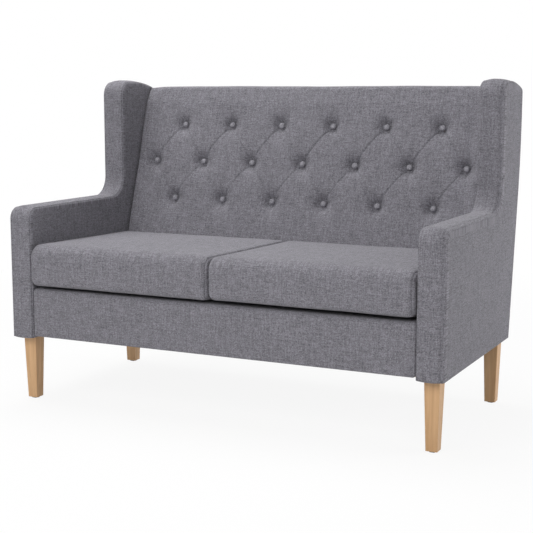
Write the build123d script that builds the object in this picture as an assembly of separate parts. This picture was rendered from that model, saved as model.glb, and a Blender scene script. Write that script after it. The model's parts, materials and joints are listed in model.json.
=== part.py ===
"""Two-seater winged sofa with a buttoned back: each physical piece is a node in parts/.

Frame: origin on the floor under the middle of the sofa, +X to the right of someone facing it,
+Y from front to back, +Z up. Left and right are as seen from the front. Sizes are millimetres.
"""

import math
import os

from build123d import *

# Overall form
OVERALL_WIDTH = 1210.0
SIDE_DEPTH = 571.0
BACK_LEAN = 73.0
REAR_RAKE = 8.6
REAR_BEND_RADIUS = 1470.0
REAR_BEND_SHARE = 0.9
UNDERSIDE = 176.0
ARM_HEIGHT = 528.0
WING_HEIGHT = 862.0
WING_FALL = 18.0
WING_FALL_RUN = 69.0
WING_SETBACK = 458.0
BACK_DROP = 14.0
CUSHION_OVERHANG = 20.0

# Side panels
ARM_THICKNESS = 62.0
ARM_FRONT_RADIUS = 32.0
NOTCH_RADIUS = 58.0
WING_FRONT_RADIUS = 40.0
WING_TOP_RADIUS = 440.0
WING_REAR_RADIUS = 14.0
SIDE_FOAM = 7.0
PLY = 9.0
BATTEN_WIDTH = 38.0
BATTEN_RECESS = 1.5
BOTTOM_BATTEN_HEIGHT = 58.0

# Covers and clearances
FABRIC = 1.5
LINING_BOARD = 2.0
SOFT_GAP = 0.3
FIT = 0.1
OPEN_END = 4.0
ARC_ROOM_SHARE = 0.98
ROD_SIDES = 6
ARC_STEPS = 4

# Seat frame and suspension
DECK_HEIGHT = 311.0
RAIL_SETBACK = 12.0
RAIL_PADDING = 6.5
RAIL_COVER_LIFT = 2.0
RAIL_TOP_RADIUS = 9.0
RAIL_COVER_LIP = 88.0
RAIL_COVER_TUCK = 33.0
SEAT_RAIL = 24.0
BEARER_HEIGHT = 80.0
BEARER_DROP = 20.0
CORNER_BLOCK = 62.0
CORNER_BLOCK_HEIGHT = 70.0
WEB_THICKNESS = 2.0
SEAT_WEB_WIDTH = 60.0
SEAT_WEB_PITCH = 165.0
SEAT_WEB_COUNT = 6
CROSS_WEB_COUNT = 3
CROSS_WEB_PITCH = 120.0
WEB_END = 4.0
DECK_CLOTH = 2.0
DUST_COVER = 1.0
EDGE_ROOM = 1.0

# Back frame
BACK_FRAME_SETBACK = 545.0
BACK_FRAME_DROP = 12.0
STILE_TOP_DEPTH = 22.0
STILE_WIDTH = 22.0
BACK_RAIL_DEPTH = 18.0
TOP_RAIL_HEIGHT = 58.0
LOWER_RAIL_HEIGHT = 60.0
LOWER_RAIL_LIFT = 20.0
BACK_WEB_WIDTH = 50.0
UPRIGHT_PITCHES = 2.5
HESSIAN = 1.0

# Tufted inside back
BACK_SETBACK = 479.0
BACK_REAR_SEAT_HEIGHT = 420.0
BACK_TOP_DEPTH = 31.0
BACK_CROWN = 6.0
BACK_EDGE_RADIUS = 14.0
BACK_TOP_RADIUS = 15.0
PAD_CLEARANCE = 0.5
TUFT_PITCH = 161.0
TUFT_ROW_RISE = 112.7
TUFT_TOP_ROW_DROP = 109.0
TUFT_EDGE = 55.0
TUFT_DEPTH = 15.0
TUFT_THROAT_DEPTH = 6.5
TUFT_MOUTH_RADIUS = 46.0
TUFT_THROAT_RADIUS = 22.0
TUFT_FLAT_RADIUS = 11.5
TUFT_SIDES = 8
PLEAT_DEPTH = 3.5
PLEAT_WIDTH = 16.0
BUTTON_RADIUS = 10.5
BUTTON_HEIGHT = 7.0
BUTTON_RIM = 2.0
BUTTON_SIDES = 8
TWINE = 2.4
TWINE_HOLE = 4.0
WAD = 22.0
WAD_THICKNESS = 3.0
TWINE_TAIL = 2.0

# Seat cushions
SEAT_FRONT_HEIGHT = 428.0
CUSHION_CROWN = 7.0
CUSHION_FRONT_SWELL = 5.0
CUSHION_GAP = 2.0
CUSHION_BACK_GAP = 7.0
CUSHION_TOP_FRONT_RADIUS = 32.0
CUSHION_TOP_REAR_RADIUS = 18.0
CUSHION_BOTTOM_FRONT_RADIUS = 24.0
CUSHION_BOTTOM_REAR_RADIUS = 16.0
CUSHION_SIDE_DRAW = 3.0
CUSHION_SEAM_RADIUS = 10.0
ZIP_LENGTH = 400.0
ZIP_TAPE = 24.0
ZIP_TEETH_WIDTH = 5.0
ZIP_TEETH_HEIGHT = 1.6
ZIP_END = 8.0
SLIDER_LENGTH = 11.0
SLIDER_WIDTH = 9.0
SLIDER_HEIGHT = 4.0
PULL_LENGTH = 16.0
PULL_WIDTH = 5.0
PULL_THICKNESS = 1.2

# Legs and fasteners
LEG_TOP = 39.0
LEG_FOOT = 29.0
LEG_EDGE = 1.2
LEG_INWARD = 3.0
FRONT_LEG_SETBACK = 44.0
REAR_LEG_SETBACK = 28.0
GLIDE_RADIUS = 11.0
GLIDE_HEIGHT = 3.0
HANGER_RADIUS = 4.0
HANGER_IN_LEG = 32.0
HANGER_IN_SIDE = 26.0
INSERT_RADIUS = 6.0
INSERT_LENGTH = 22.0
BOLT_RADIUS = 4.0
BOLT_HEAD_RADIUS = 7.5
BOLT_HEAD_HEIGHT = 5.3
BOLT_TAIL = 5.0
BOLT_COUNT = 3
BOLT_END_DISTANCE = 62.0
BOLT_DROP = 42.0
WASHER_RADIUS = 11.0
WASHER_THICKNESS = 1.6
TEE_NUT_RADIUS = 5.5
TEE_NUT_FLANGE_RADIUS = 11.0
TEE_NUT_FLANGE = 1.5
SCREW_RADIUS = 3.0
SCREW_HEAD_RADIUS = 6.0
SCREW_HEAD_HEIGHT = 3.5
SCREW_GRIP = 18.0
SCREW_RISE = 35.0
SCREW_DROP = 58.0

# Places worked out from the sizes above
FRONT = -(SIDE_DEPTH + BACK_LEAN - CUSHION_OVERHANG) / 2
REAR_FOOT = FRONT + SIDE_DEPTH
REAR_TOP = REAR_FOOT + BACK_LEAN
BACK_HEIGHT = WING_HEIGHT - BACK_DROP
BACK_FRAME_TOP = BACK_HEIGHT - BACK_FRAME_DROP
REAR_BEND = UNDERSIDE + BACK_LEAN / math.tan(math.radians(REAR_RAKE))
HALF_BEND = math.tan(math.radians(REAR_RAKE) / 2)
REAR_STRAIGHT = WING_HEIGHT - WING_FALL - WING_REAR_RADIUS - REAR_BEND
REAR_ARC_RADIUS = min(REAR_BEND_RADIUS, REAR_BEND_SHARE * REAR_STRAIGHT / HALF_BEND)
REAR_BEND_REACH = REAR_ARC_RADIUS * HALF_BEND
REAR_SKIN = FABRIC + LINING_BOARD
WING_FRONT = FRONT + WING_SETBACK
WING_BEND = REAR_TOP - WING_FALL_RUN
INNER_HALF = OVERALL_WIDTH / 2 - ARM_THICKNESS
FOAM_INSET = FABRIC + SOFT_GAP
PANEL_INSET = FOAM_INSET + SIDE_FOAM + SOFT_GAP
CAVITY = ARM_THICKNESS - 2 * (PANEL_INSET + PLY)

RAIL_COVER_BOTTOM = UNDERSIDE + RAIL_COVER_LIFT
RAIL_FRONT = FRONT + RAIL_SETBACK + FABRIC + RAIL_PADDING
RAIL_BOTTOM = RAIL_COVER_BOTTOM + FABRIC
RAIL_TOP = DECK_HEIGHT - DECK_CLOTH - 2 * WEB_THICKNESS
LIP_END = FRONT + RAIL_SETBACK + RAIL_COVER_LIP
TUCK_END = FRONT + RAIL_SETBACK + RAIL_COVER_TUCK
BACK_FOOT = FRONT + BACK_FRAME_SETBACK
BOLT_HEIGHT = RAIL_TOP - BOLT_DROP

FRAME_TOP_Y = REAR_TOP - REAR_SKIN - SOFT_GAP - STILE_TOP_DEPTH
FRAME_SLOPE = (FRAME_TOP_Y - BACK_FOOT) / (BACK_FRAME_TOP - RAIL_TOP)
FRAME_RAKE = math.atan(FRAME_SLOPE)
LOWER_RAIL_BOTTOM = RAIL_TOP + LOWER_RAIL_LIFT
LOWER_RAIL_TOP = LOWER_RAIL_BOTTOM + LOWER_RAIL_HEIGHT
TOP_RAIL_BOTTOM = BACK_FRAME_TOP - TOP_RAIL_HEIGHT
SCREW_HEIGHTS = (LOWER_RAIL_TOP + SCREW_RISE, TOP_RAIL_BOTTOM - SCREW_DROP)
PAD_BACKING = WEB_THICKNESS + HESSIAN
PAD_BOTTOM = DECK_HEIGHT + SOFT_GAP
PAD_HALF = INNER_HALF - PAD_CLEARANCE

INSIDE_LEAN = REAR_TOP - BACK_TOP_DEPTH - FRONT - BACK_SETBACK
RAKE = math.atan(INSIDE_LEAN / (BACK_HEIGHT - BACK_REAR_SEAT_HEIGHT))
TUFT_TOP_ROW = (BACK_HEIGHT - TUFT_TOP_ROW_DROP - BACK_REAR_SEAT_HEIGHT) / math.cos(RAKE)
BACK_OUT = (0, -math.cos(RAKE), math.sin(RAKE))
BACK_PLANE = Plane((0, FRONT + BACK_SETBACK, BACK_REAR_SEAT_HEIGHT), (1, 0, 0), BACK_OUT)

CUSHION_FRONT = FRONT - CUSHION_OVERHANG
CUSHION_BOTTOM = DECK_HEIGHT + SOFT_GAP
CUSHION_WIDTH = INNER_HALF - 1.5 * CUSHION_GAP
CUSHION_X = (CUSHION_WIDTH + CUSHION_GAP) / 2

LEG_X = OVERALL_WIDTH / 2 - ARM_THICKNESS / 2 - LEG_INWARD
LEG_Y = {"front": FRONT + FRONT_LEG_SETBACK, "rear": REAR_FOOT - REAR_LEG_SETBACK}
SIDES = {"left": -1, "right": 1}


def node(name, *solids):
    """Write one node, a single solid or a group of separate ones."""
    shape = solids[0] if len(solids) == 1 else Compound(children=list(solids))
    export_step(shape, f"parts/{name}.step")


def outline(corners, insets):
    """Face of a counter-clockwise outline of (y, z, radius) corners, each edge drawn in by its inset.

    A corner's radius shrinks where its edges are too short for it.
    """
    lines = []
    for (y0, z0, _), (y1, z1, _), inset in zip(corners, corners[1:] + corners[:1], insets):
        along = Vector(y1 - y0, z1 - z0).normalized()
        lines.append((Vector(y0, z0) + Vector(-along.Y, along.X) * inset, along))
    points = []
    radii = []
    reaches = []
    for i, (_, _, radius) in enumerate(corners):
        (start, before), (end, after) = lines[i - 1], lines[i]
        turn = before.X * after.Y - before.Y * after.X
        reach = ((end.X - start.X) * after.Y - (end.Y - start.Y) * after.X) / turn
        point = start + before * reach
        points.append((point.X, point.Y))
        draw = math.copysign(min(insets[i - 1], insets[i]), turn)
        radii.append(max(radius - draw, 0) if radius else 0)
        reaches.append(radii[i] * math.tan(abs(math.asin(max(-1, min(1, turn)))) / 2))
    for i, (point, reach) in enumerate(zip(points, reaches)):
        following = (i + 1) % len(points)
        taken = (reach + reaches[following]) / (ARC_ROOM_SHARE * math.dist(point, points[following]))
        for corner in (i, following):
            radii[corner] /= max(taken, 1)
    return make_face(FilletPolyline(*points, radius=radii, close=True))


def along_x(face, x0, x1):
    """Prism of a (y, z) face from x0 to x1."""
    return Pos(min(x0, x1), 0, 0) * extrude(Plane.YZ * face, abs(x1 - x0))


def block(x0, x1, y0, y1, z0, z1):
    """Box between two corners."""
    return Pos(min(x0, x1), y0, z0) * Box(abs(x1 - x0), y1 - y0, z1 - z0, align=Align.MIN)


def rod(x0, x1, y, z, radius):
    """Faceted rod along X."""
    section = Plane.YZ * (Pos(y, z) * RegularPolygon(radius, ROD_SIDES))
    return Pos(min(x0, x1), 0, 0) * extrude(section, abs(x1 - x0))


def post(x, y, z0, z1, radius):
    """Faceted rod along Z."""
    return Pos(x, y, z0) * extrude(RegularPolygon(radius, ROD_SIDES), z1 - z0)


def chords(face):
    """Points round a face, with each of its arcs drawn as a few chords."""
    points = []
    for edge in face.face().outer_wire().order_edges():
        steps = 1 if edge.geom_type == GeomType.LINE else ARC_STEPS
        points += [edge @ (i / steps) for i in range(steps)]
    return points


def faceted(face):
    """Face with chords for arcs."""
    return make_face(Polyline(*chords(face), close=True))


def ringed(rings):
    """Solid of flat faces through rings of as many points each."""
    faces = [Face(Wire.make_polygon(ring)) for ring in (rings[0], rings[-1])]
    for low, high in zip(rings, rings[1:]):
        for i in range(len(low)):
            faces.append(Face(Wire.make_polygon([low[i - 1], low[i], high[i], high[i - 1]])))
    return Solid(Shell(faces))


def turned(profile, sides):
    """Solid of flat faces, a (radius, height) profile turned about Z."""
    angles = [2 * math.pi * (i + 0.5) / sides for i in range(sides)]
    return ringed([[(r * math.cos(a), r * math.sin(a), h) for a in angles] for r, h in profile])


def rear_edge(z):
    """Y of the sofa's rear face at a height."""
    if z < REAR_BEND - REAR_BEND_REACH:
        return REAR_FOOT + (z - UNDERSIDE) * math.tan(math.radians(REAR_RAKE))
    rise = max(REAR_BEND + REAR_BEND_REACH - z, 0)
    return REAR_TOP - REAR_ARC_RADIUS + math.sqrt(REAR_ARC_RADIUS**2 - rise**2)


def frame_face(z):
    """Y of the back frame's front face at a height."""
    return BACK_FOOT + (z - RAIL_TOP) * FRAME_SLOPE


def inside_face(z, out=0.0):
    """Y of the inside back's flat front at a height, moved out along its normal."""
    return FRONT + BACK_SETBACK + (z - BACK_REAR_SEAT_HEIGHT) * math.tan(RAKE) - out / math.cos(RAKE)


def side_outline(inset, bottom, rear, extra=None):
    """Outline of one side; extra adds to single insets: bottom, rear, top, wing, arm or front."""
    corners = [
        (FRONT, UNDERSIDE, 0),
        (REAR_FOOT, UNDERSIDE, 0),
        (REAR_TOP, REAR_BEND, REAR_ARC_RADIUS),
        (REAR_TOP, WING_HEIGHT - WING_FALL, WING_REAR_RADIUS),
        (WING_BEND, WING_HEIGHT, WING_TOP_RADIUS),
        (WING_FRONT, WING_HEIGHT, WING_FRONT_RADIUS),
        (WING_FRONT, ARM_HEIGHT, NOTCH_RADIUS),
        (FRONT, ARM_HEIGHT, ARM_FRONT_RADIUS),
    ]
    more = {"bottom": 0, "rear": 0, "top": 0, "wing": 0, "arm": 0, "front": 0, **(extra or {})}
    insets = [
        bottom + more["bottom"],
        rear + more["rear"],
        rear + more["rear"],
        inset + more["top"],
        inset + more["top"],
        inset + more["wing"],
        inset + more["arm"],
        inset + more["front"],
    ]
    return outline(corners, insets)


def bolt_places():
    """(y, z) of the bolts through each seat side rail."""
    first = RAIL_FRONT + SEAT_RAIL + BOLT_END_DISTANCE
    last = BACK_FOOT - SEAT_RAIL - BOLT_END_DISTANCE
    step = (last - first) / (BOLT_COUNT - 1)
    return [(first + i * step, BOLT_HEIGHT) for i in range(BOLT_COUNT)]


def screw_places():
    """(y, z) of the screws through each back stile into the side."""
    return [((frame_face(z) + rear_edge(z) - REAR_SKIN) / 2, z) for z in SCREW_HEIGHTS]


def leg_places():
    """(name, x, y) of the four legs."""
    return [
        (f"{end}_{side}", sign * LEG_X, y)
        for end, y in LEG_Y.items()
        for side, sign in SIDES.items()
    ]


def side_pieces():
    """Pieces of the left side: plywood box, foam and the three sewn parts of its cover."""
    outer = -OVERALL_WIDTH / 2
    inner = -INNER_HALF
    skin = side_outline(0, 0, REAR_SKIN)
    outer_cover = along_x(skin, outer, outer + FABRIC)
    inner_cover = along_x(skin, inner - FABRIC, inner)
    ring = skin - side_outline(FABRIC, FABRIC, REAR_SKIN - OPEN_END)
    band = along_x(ring, outer + FABRIC, inner - FABRIC)
    foam = along_x(side_outline(FOAM_INSET, FOAM_INSET, REAR_SKIN), outer + FOAM_INSET, inner - FOAM_INSET)
    core = side_outline(FOAM_INSET + SIDE_FOAM, -OPEN_END, REAR_SKIN - OPEN_END)
    foam -= along_x(core, outer + FOAM_INSET + SIDE_FOAM, inner - FOAM_INSET - SIDE_FOAM)
    frame_insets = (PANEL_INSET, FABRIC, REAR_SKIN + SOFT_GAP)
    panel = side_outline(*frame_insets)
    outer_panel = along_x(panel, outer + PANEL_INSET, outer + PANEL_INSET + PLY)
    inner_panel = along_x(panel, inner - PANEL_INSET - PLY, inner - PANEL_INSET)

    battens = []
    extra = {}
    batten_insets = (PANEL_INSET + BATTEN_RECESS, FABRIC, REAR_SKIN + SOFT_GAP + BATTEN_RECESS)
    whole = faceted(side_outline(*batten_insets))
    left = whole
    for edge in ("bottom", "rear", "front", "wing", "arm", "top"):
        extra[edge] = BOTTOM_BATTEN_HEIGHT if edge == "bottom" else BATTEN_WIDTH
        rest = faceted(side_outline(*batten_insets, extra))
        x0 = outer + PANEL_INSET + PLY
        battens.append(along_x((left - rest) & whole, x0, x0 + CAVITY))
        left = rest

    bolt_holes = [rod(inner - ARM_THICKNESS / 2, inner, y, z, BOLT_RADIUS + FIT) for y, z in bolt_places()]
    nut_holes = [rod(inner - ARM_THICKNESS / 2, inner, y, z, TEE_NUT_RADIUS + FIT) for y, z in bolt_places()]
    screw_end = inner - PANEL_INSET - PLY - SCREW_GRIP
    screw_holes = [rod(screw_end, inner, y, z, SCREW_RADIUS + FIT) for y, z in screw_places()]
    leg_holes = [
        post(-LEG_X, y, UNDERSIDE, UNDERSIDE + FABRIC + HANGER_IN_SIDE, INSERT_RADIUS + FIT)
        for y in LEG_Y.values()
    ]
    battens = [batten - screw_holes - leg_holes for batten in battens]
    inner_cover = inner_cover - bolt_holes - screw_holes
    band = band - leg_holes
    foam = foam - bolt_holes - screw_holes
    inner_panel = inner_panel - nut_holes - screw_holes

    return {
        "arm_outer_panel": [outer_panel],
        "arm_inner_panel": [inner_panel],
        "arm_battens": battens,
        "arm_padding": [foam],
        "arm_outer_cover": [outer_cover],
        "arm_band": [band],
        "arm_inner_cover": [inner_cover],
    }


def sides():
    """Both sides, the right one a mirror image of the left."""
    for name, solids in side_pieces().items():
        node(f"left_{name}", *solids)
        node(f"right_{name}", *[mirror(solid, Plane.YZ) for solid in solids])


def seat_frame():
    """Rails, centre bearer and corner blocks of the seat."""
    rear_rail = BACK_FOOT - SEAT_RAIL
    between = RAIL_FRONT + SEAT_RAIL
    inside = INNER_HALF - SEAT_RAIL
    node("front_seat_rail", block(-INNER_HALF, INNER_HALF, RAIL_FRONT, between, RAIL_BOTTOM, RAIL_TOP))
    node("rear_seat_rail", block(-INNER_HALF, INNER_HALF, rear_rail, BACK_FOOT, RAIL_BOTTOM, RAIL_TOP))
    blocks = []
    for side, sign in SIDES.items():
        rail = block(sign * inside, sign * INNER_HALF, between, rear_rail, RAIL_BOTTOM, RAIL_TOP)
        holes = [rod(sign * inside, sign * INNER_HALF, y, z, BOLT_RADIUS + FIT) for y, z in bolt_places()]
        node(f"{side}_seat_rail", rail - holes)
        for y, depth in ((between, CORNER_BLOCK), (rear_rail, -CORNER_BLOCK)):
            corner = (sign * inside, y)
            along_rail = (sign * inside, y + depth)
            across = (sign * (inside - CORNER_BLOCK), y)
            triangle = make_face(Polyline(corner, along_rail, across, close=True))
            blocks.append(Pos(0, 0, RAIL_BOTTOM) * extrude(triangle, CORNER_BLOCK_HEIGHT, dir=(0, 0, 1)))
    node("seat_corner_blocks", *blocks)
    bearer_top = RAIL_TOP - BEARER_DROP
    half = SEAT_RAIL / 2
    node("centre_bearer", block(-half, half, between, rear_rail, bearer_top - BEARER_HEIGHT, bearer_top))


def seat_webbing():
    """Straps from front to back, and straps woven across them."""
    middle = (SEAT_WEB_COUNT - 1) / 2
    places = [(i - middle) * SEAT_WEB_PITCH for i in range(SEAT_WEB_COUNT)]
    half = SEAT_WEB_WIDTH / 2
    y0, y1 = RAIL_FRONT + WEB_END, BACK_FOOT - WEB_END
    top = RAIL_TOP + WEB_THICKNESS
    straps = [block(x - half, x + half, y0, y1, RAIL_TOP, top) for x in places]
    node("seat_webbing_long", *straps)

    cross = []
    for row in range(CROSS_WEB_COUNT):
        y = (RAIL_FRONT + BACK_FOOT) / 2 + (row - (CROSS_WEB_COUNT - 1) / 2) * CROSS_WEB_PITCH
        low = [(-INNER_HALF + WEB_END, RAIL_TOP), (-INNER_HALF + SEAT_RAIL, RAIL_TOP)]
        for i, x in enumerate(places):
            step = WEB_THICKNESS if (i + row) % 2 else -WEB_THICKNESS
            low += [(x - half - EDGE_ROOM, RAIL_TOP + step), (x + half + EDGE_ROOM, RAIL_TOP + step)]
        low += [(INNER_HALF - SEAT_RAIL, RAIL_TOP), (INNER_HALF - WEB_END, RAIL_TOP)]
        high = [(x, z + WEB_THICKNESS) for x, z in reversed(low)]
        face = make_face(Polyline(*low, *high, close=True))
        cross.append(Pos(0, y + half, 0) * extrude(Plane.XZ * face, SEAT_WEB_WIDTH))
    node("seat_webbing_cross", *cross)


def seat_covers():
    """Deck cloth, dust cover, and the padded cover of the front rail."""
    wide = INNER_HALF - EDGE_ROOM
    deck = block(-wide, wide, LIP_END, BACK_FOOT, DECK_HEIGHT - DECK_CLOTH, DECK_HEIGHT)
    node("deck_cloth", deck)
    dust_front = TUCK_END + EDGE_ROOM
    node("dust_cover", block(-wide, wide, dust_front, BACK_FOOT, RAIL_BOTTOM - DUST_COVER, RAIL_BOTTOM))

    cover_front = FRONT + RAIL_SETBACK
    corners = [
        (cover_front, RAIL_COVER_BOTTOM, 0),
        (LIP_END, RAIL_COVER_BOTTOM, 0),
        (LIP_END, DECK_HEIGHT, 0),
        (cover_front, DECK_HEIGHT, RAIL_TOP_RADIUS),
    ]
    skin = outline(corners, [0, 0, 0, 0]) - outline(corners, [FABRIC, -OPEN_END, FABRIC, FABRIC])
    cover = along_x(skin, -wide, wide)
    cover -= block(-wide, wide, TUCK_END, LIP_END + OPEN_END, RAIL_COVER_BOTTOM, RAIL_TOP)
    node("front_rail_cover", cover)

    inside = outline(corners, [FABRIC, 0, FABRIC, FABRIC])
    padding = along_x(inside, -wide, wide)
    padding -= block(-wide, wide, RAIL_FRONT, LIP_END, RAIL_COVER_BOTTOM, RAIL_TOP + WEB_THICKNESS)
    node("front_rail_padding", padding)


def back_frame():
    """Stiles, uprights, rails, webbing and hessian behind the tufted pad."""
    corners = [
        (BACK_FOOT, RAIL_BOTTOM, 0),
        (rear_edge(RAIL_BOTTOM), RAIL_BOTTOM, 0),
        (REAR_TOP, REAR_BEND, REAR_ARC_RADIUS),
        (REAR_TOP, BACK_FRAME_TOP, 0),
        (FRAME_TOP_Y, BACK_FRAME_TOP, 0),
        (BACK_FOOT, RAIL_TOP, 0),
    ]
    rear = REAR_SKIN + SOFT_GAP
    stile = outline(corners, [0, rear, rear, 0, 0, 0])
    inside = INNER_HALF - STILE_WIDTH
    for side, sign in SIDES.items():
        holes = [rod(sign * inside, sign * INNER_HALF, y, z, SCREW_RADIUS + FIT) for y, z in screw_places()]
        node(f"{side}_back_stile", along_x(stile, sign * inside, sign * INNER_HALF) - holes)

    def raked(z0, z1, depth, lift=0.0):
        """Section with its front on the frame's face, or lifted off it, and a level top and bottom."""
        front = [(frame_face(z) - lift, z) for z in (z0, z1)]
        rear_side = [(y + depth, z) for y, z in reversed(front)]
        return make_face(Polyline(*front, *rear_side, close=True))

    node("back_top_rail", along_x(raked(TOP_RAIL_BOTTOM, BACK_FRAME_TOP, BACK_RAIL_DEPTH), -inside, inside))
    lower = raked(LOWER_RAIL_BOTTOM, LOWER_RAIL_TOP, BACK_RAIL_DEPTH)
    node("back_lower_rail", along_x(lower, -inside, inside))

    half_pitch = TUFT_PITCH / 2
    upright = raked(LOWER_RAIL_TOP, TOP_RAIL_BOTTOM, BACK_RAIL_DEPTH)
    half = STILE_WIDTH / 2
    out = UPRIGHT_PITCHES * half_pitch
    uprights = [along_x(upright, x - half, x + half) for x in (-out, out)]
    node("back_uprights", *uprights)

    strap = raked(LOWER_RAIL_BOTTOM, BACK_FRAME_TOP, WEB_THICKNESS, WEB_THICKNESS)
    half = BACK_WEB_WIDTH / 2
    per_side = int((inside - half) / half_pitch - 1.5) // 2 + 1
    places = [sign * (1.5 + 2 * i) * half_pitch for i in range(per_side) for sign in (-1, 1)]
    node("back_webbing", *[along_x(strap, x - half, x + half) for x in places])

    sheet = along_x(raked(LOWER_RAIL_BOTTOM, BACK_FRAME_TOP, HESSIAN, PAD_BACKING), -PAD_HALF, PAD_HALF)
    node("back_hessian", sheet - twine_holes())


def tufts():
    """(x, v, w) of each button seat's mouth on the inside back: v runs up the slope, w out of it."""
    middle = int((PAD_HALF - TUFT_EDGE) / TUFT_PITCH)
    places = []
    for row, shift in enumerate((0.5, 0.0, 0.5)):
        v = TUFT_TOP_ROW - row * TUFT_ROW_RISE
        steps = [i + shift for i in range(-middle, middle + 1) if i + shift <= middle]
        places += [(step * TUFT_PITCH, v) for step in steps]
    return [(x, v, BACK_CROWN * (1 - (x / PAD_HALF) ** 2)) for x, v in places]


def pleats():
    """Pairs of (x, v, w) points that the pleats join: diagonal neighbours, and the ends of the middle row."""
    places = tufts()
    pairs = []
    for a in places:
        for b in places:
            beside = abs(abs(a[0] - b[0]) - TUFT_PITCH / 2) < FIT
            if beside and abs(b[1] - a[1] - TUFT_ROW_RISE) < FIT:
                pairs.append((a, b))
    for end in (min(places), max(places)):
        edge = math.copysign(PAD_HALF + BACK_EDGE_RADIUS, end[0])
        pairs.append((end, (edge, end[1], 0)))
    return pairs


def back_block(inset, seat, pleated=True):
    """Inside back drawn in by inset: crowned front, rounded edges, tufts, and pleats where asked.

    Its rear faces lie on the hessian and the top rail, moved back by seat.
    """
    half = PAD_HALF - inset
    deep = -(FRAME_TOP_Y - FRONT)
    front = ThreePointArc((half, -inset), (0, BACK_CROWN - inset), (-half, -inset))
    rest = Polyline((-half, -inset), (-half, deep), (half, deep), (half, -inset))
    plan = make_face([front, rest])
    ends = plan.vertices().group_by(Axis.Y)[-1]
    plan = fillet(ends, BACK_EDGE_RADIUS - inset)
    down = Plane(BACK_PLANE.origin, (1, 0, 0), (0, -math.sin(RAKE), -math.cos(RAKE)))
    crowned = extrude(down * faceted(plan), BACK_HEIGHT, both=True)

    top = BACK_HEIGHT - inset
    under = BACK_FRAME_TOP - seat
    out = BACK_CROWN - inset + FIT
    corners = [
        (inside_face(PAD_BOTTOM, out), PAD_BOTTOM, 0),
        (frame_face(PAD_BOTTOM) - PAD_BACKING + seat, PAD_BOTTOM, 0),
        (frame_face(under) - PAD_BACKING + seat, under, 0),
        (REAR_TOP - REAR_SKIN - SOFT_GAP + seat, under, 0),
        (REAR_TOP - REAR_SKIN - SOFT_GAP + seat, top, 0),
        (inside_face(top, out), top, BACK_TOP_RADIUS - inset),
    ]
    solid = along_x(faceted(outline(corners, [0] * len(corners))), -half, half) & crowned

    spread = (TUFT_MOUTH_RADIUS - TUFT_THROAT_RADIUS) / TUFT_THROAT_DEPTH
    profile = [
        (TUFT_FLAT_RADIUS, -TUFT_DEPTH),
        (TUFT_THROAT_RADIUS, -TUFT_THROAT_DEPTH),
        (TUFT_MOUTH_RADIUS + BACK_CROWN * spread, BACK_CROWN),
    ]
    cutter = turned(profile, TUFT_SIDES)
    cuts = [BACK_PLANE * Pos(x, v, w - inset) * cutter for x, v, w in tufts()]

    reach = PLEAT_WIDTH / 2 * (1 + BACK_CROWN / PLEAT_DEPTH)
    groove = make_face(Polyline((-PLEAT_DEPTH, 0), (BACK_CROWN, reach), (BACK_CROWN, -reach), close=True))
    for a, b in pleats() if pleated else []:
        start, end = (BACK_PLANE.from_local_coords(Vector(x, v, w - inset)) for x, v, w in (a, b))
        run = Plane(start, BACK_PLANE.z_dir, end - start)
        cuts.append(extrude(run * groove, (end - start).length))
    return solid - cuts


def twine_depth(v, w):
    """Distance along the inside back's normal from (v, w) to the rear of the hessian."""
    place = BACK_PLANE.from_local_coords(Vector(0, v, w))
    gap = frame_face(place.Z) - WEB_THICKNESS - place.Y
    return gap / (math.cos(RAKE) + math.sin(RAKE) * FRAME_SLOPE)


def twine_boxes(size, tail):
    """Square rods from each button seat to behind the hessian."""
    rods = []
    for x, v, w in tufts():
        length = twine_depth(v, w - TUFT_DEPTH) + tail
        rods.append(BACK_PLANE * Pos(x, v, w - TUFT_DEPTH - length / 2) * Box(size, size, length))
    return rods


def twine_holes():
    """Clearance round each twine, from the bottom of its tuft backwards."""
    return twine_boxes(TWINE_HOLE, WAD_THICKNESS + 2 * TWINE_TAIL)


def inside_back():
    """Tufted cover, its foam, the buttons, their twines and the wads behind the hessian."""
    holes = twine_holes()
    cover = back_block(0, 0) - back_block(FABRIC, OPEN_END)
    node("inside_back_cover", cover - holes)
    node("back_foam", back_block(FOAM_INSET + PLEAT_DEPTH, 0, pleated=False) - holes)

    rise = BUTTON_HEIGHT - BUTTON_RIM
    profile = [(BUTTON_RADIUS, 0)]
    for angle in (0, 0.3 * math.pi):
        profile.append((BUTTON_RADIUS * math.cos(angle), BUTTON_RIM + rise * math.sin(angle)))
    button = turned(profile, BUTTON_SIDES)
    node("tuft_buttons", *[BACK_PLANE * Pos(x, v, w - TUFT_DEPTH) * button for x, v, w in tufts()])
    node("tuft_twines", *twine_boxes(TWINE, WAD_THICKNESS + TWINE_TAIL))

    wads = []
    for x, v, w in tufts():
        depth = twine_depth(v, w - TUFT_DEPTH)
        place = BACK_PLANE.from_local_coords(Vector(x, v, w - TUFT_DEPTH - depth))
        lying = Plane(place, (1, 0, 0), (0, -math.cos(FRAME_RAKE), math.sin(FRAME_RAKE)))
        wads.append(lying * Pos(0, 0, -WAD_THICKNESS / 2) * Box(WAD, WAD, WAD_THICKNESS) - holes)
    node("tuft_wads", *wads)


def rear_sheet(front, rear, top, half):
    """Sheet along the sofa's rear face, between two insets from it."""
    room = FABRIC + LINING_BOARD + OPEN_END
    corners = [
        (REAR_FOOT - 2 * room, UNDERSIDE, 0),
        (REAR_FOOT, UNDERSIDE, 0),
        (REAR_TOP, REAR_BEND, REAR_ARC_RADIUS),
        (REAR_TOP, top, 0),
        (REAR_TOP - 2 * room, top, 0),
        (REAR_TOP - 2 * room, REAR_BEND, REAR_ARC_RADIUS),
    ]
    whole = outline(corners, [0, rear, rear, 0, -room, -room])
    behind = outline(corners, [-room, front, front, -room, -2 * room, -2 * room])
    return along_x(whole - behind, -half, half)


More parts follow.
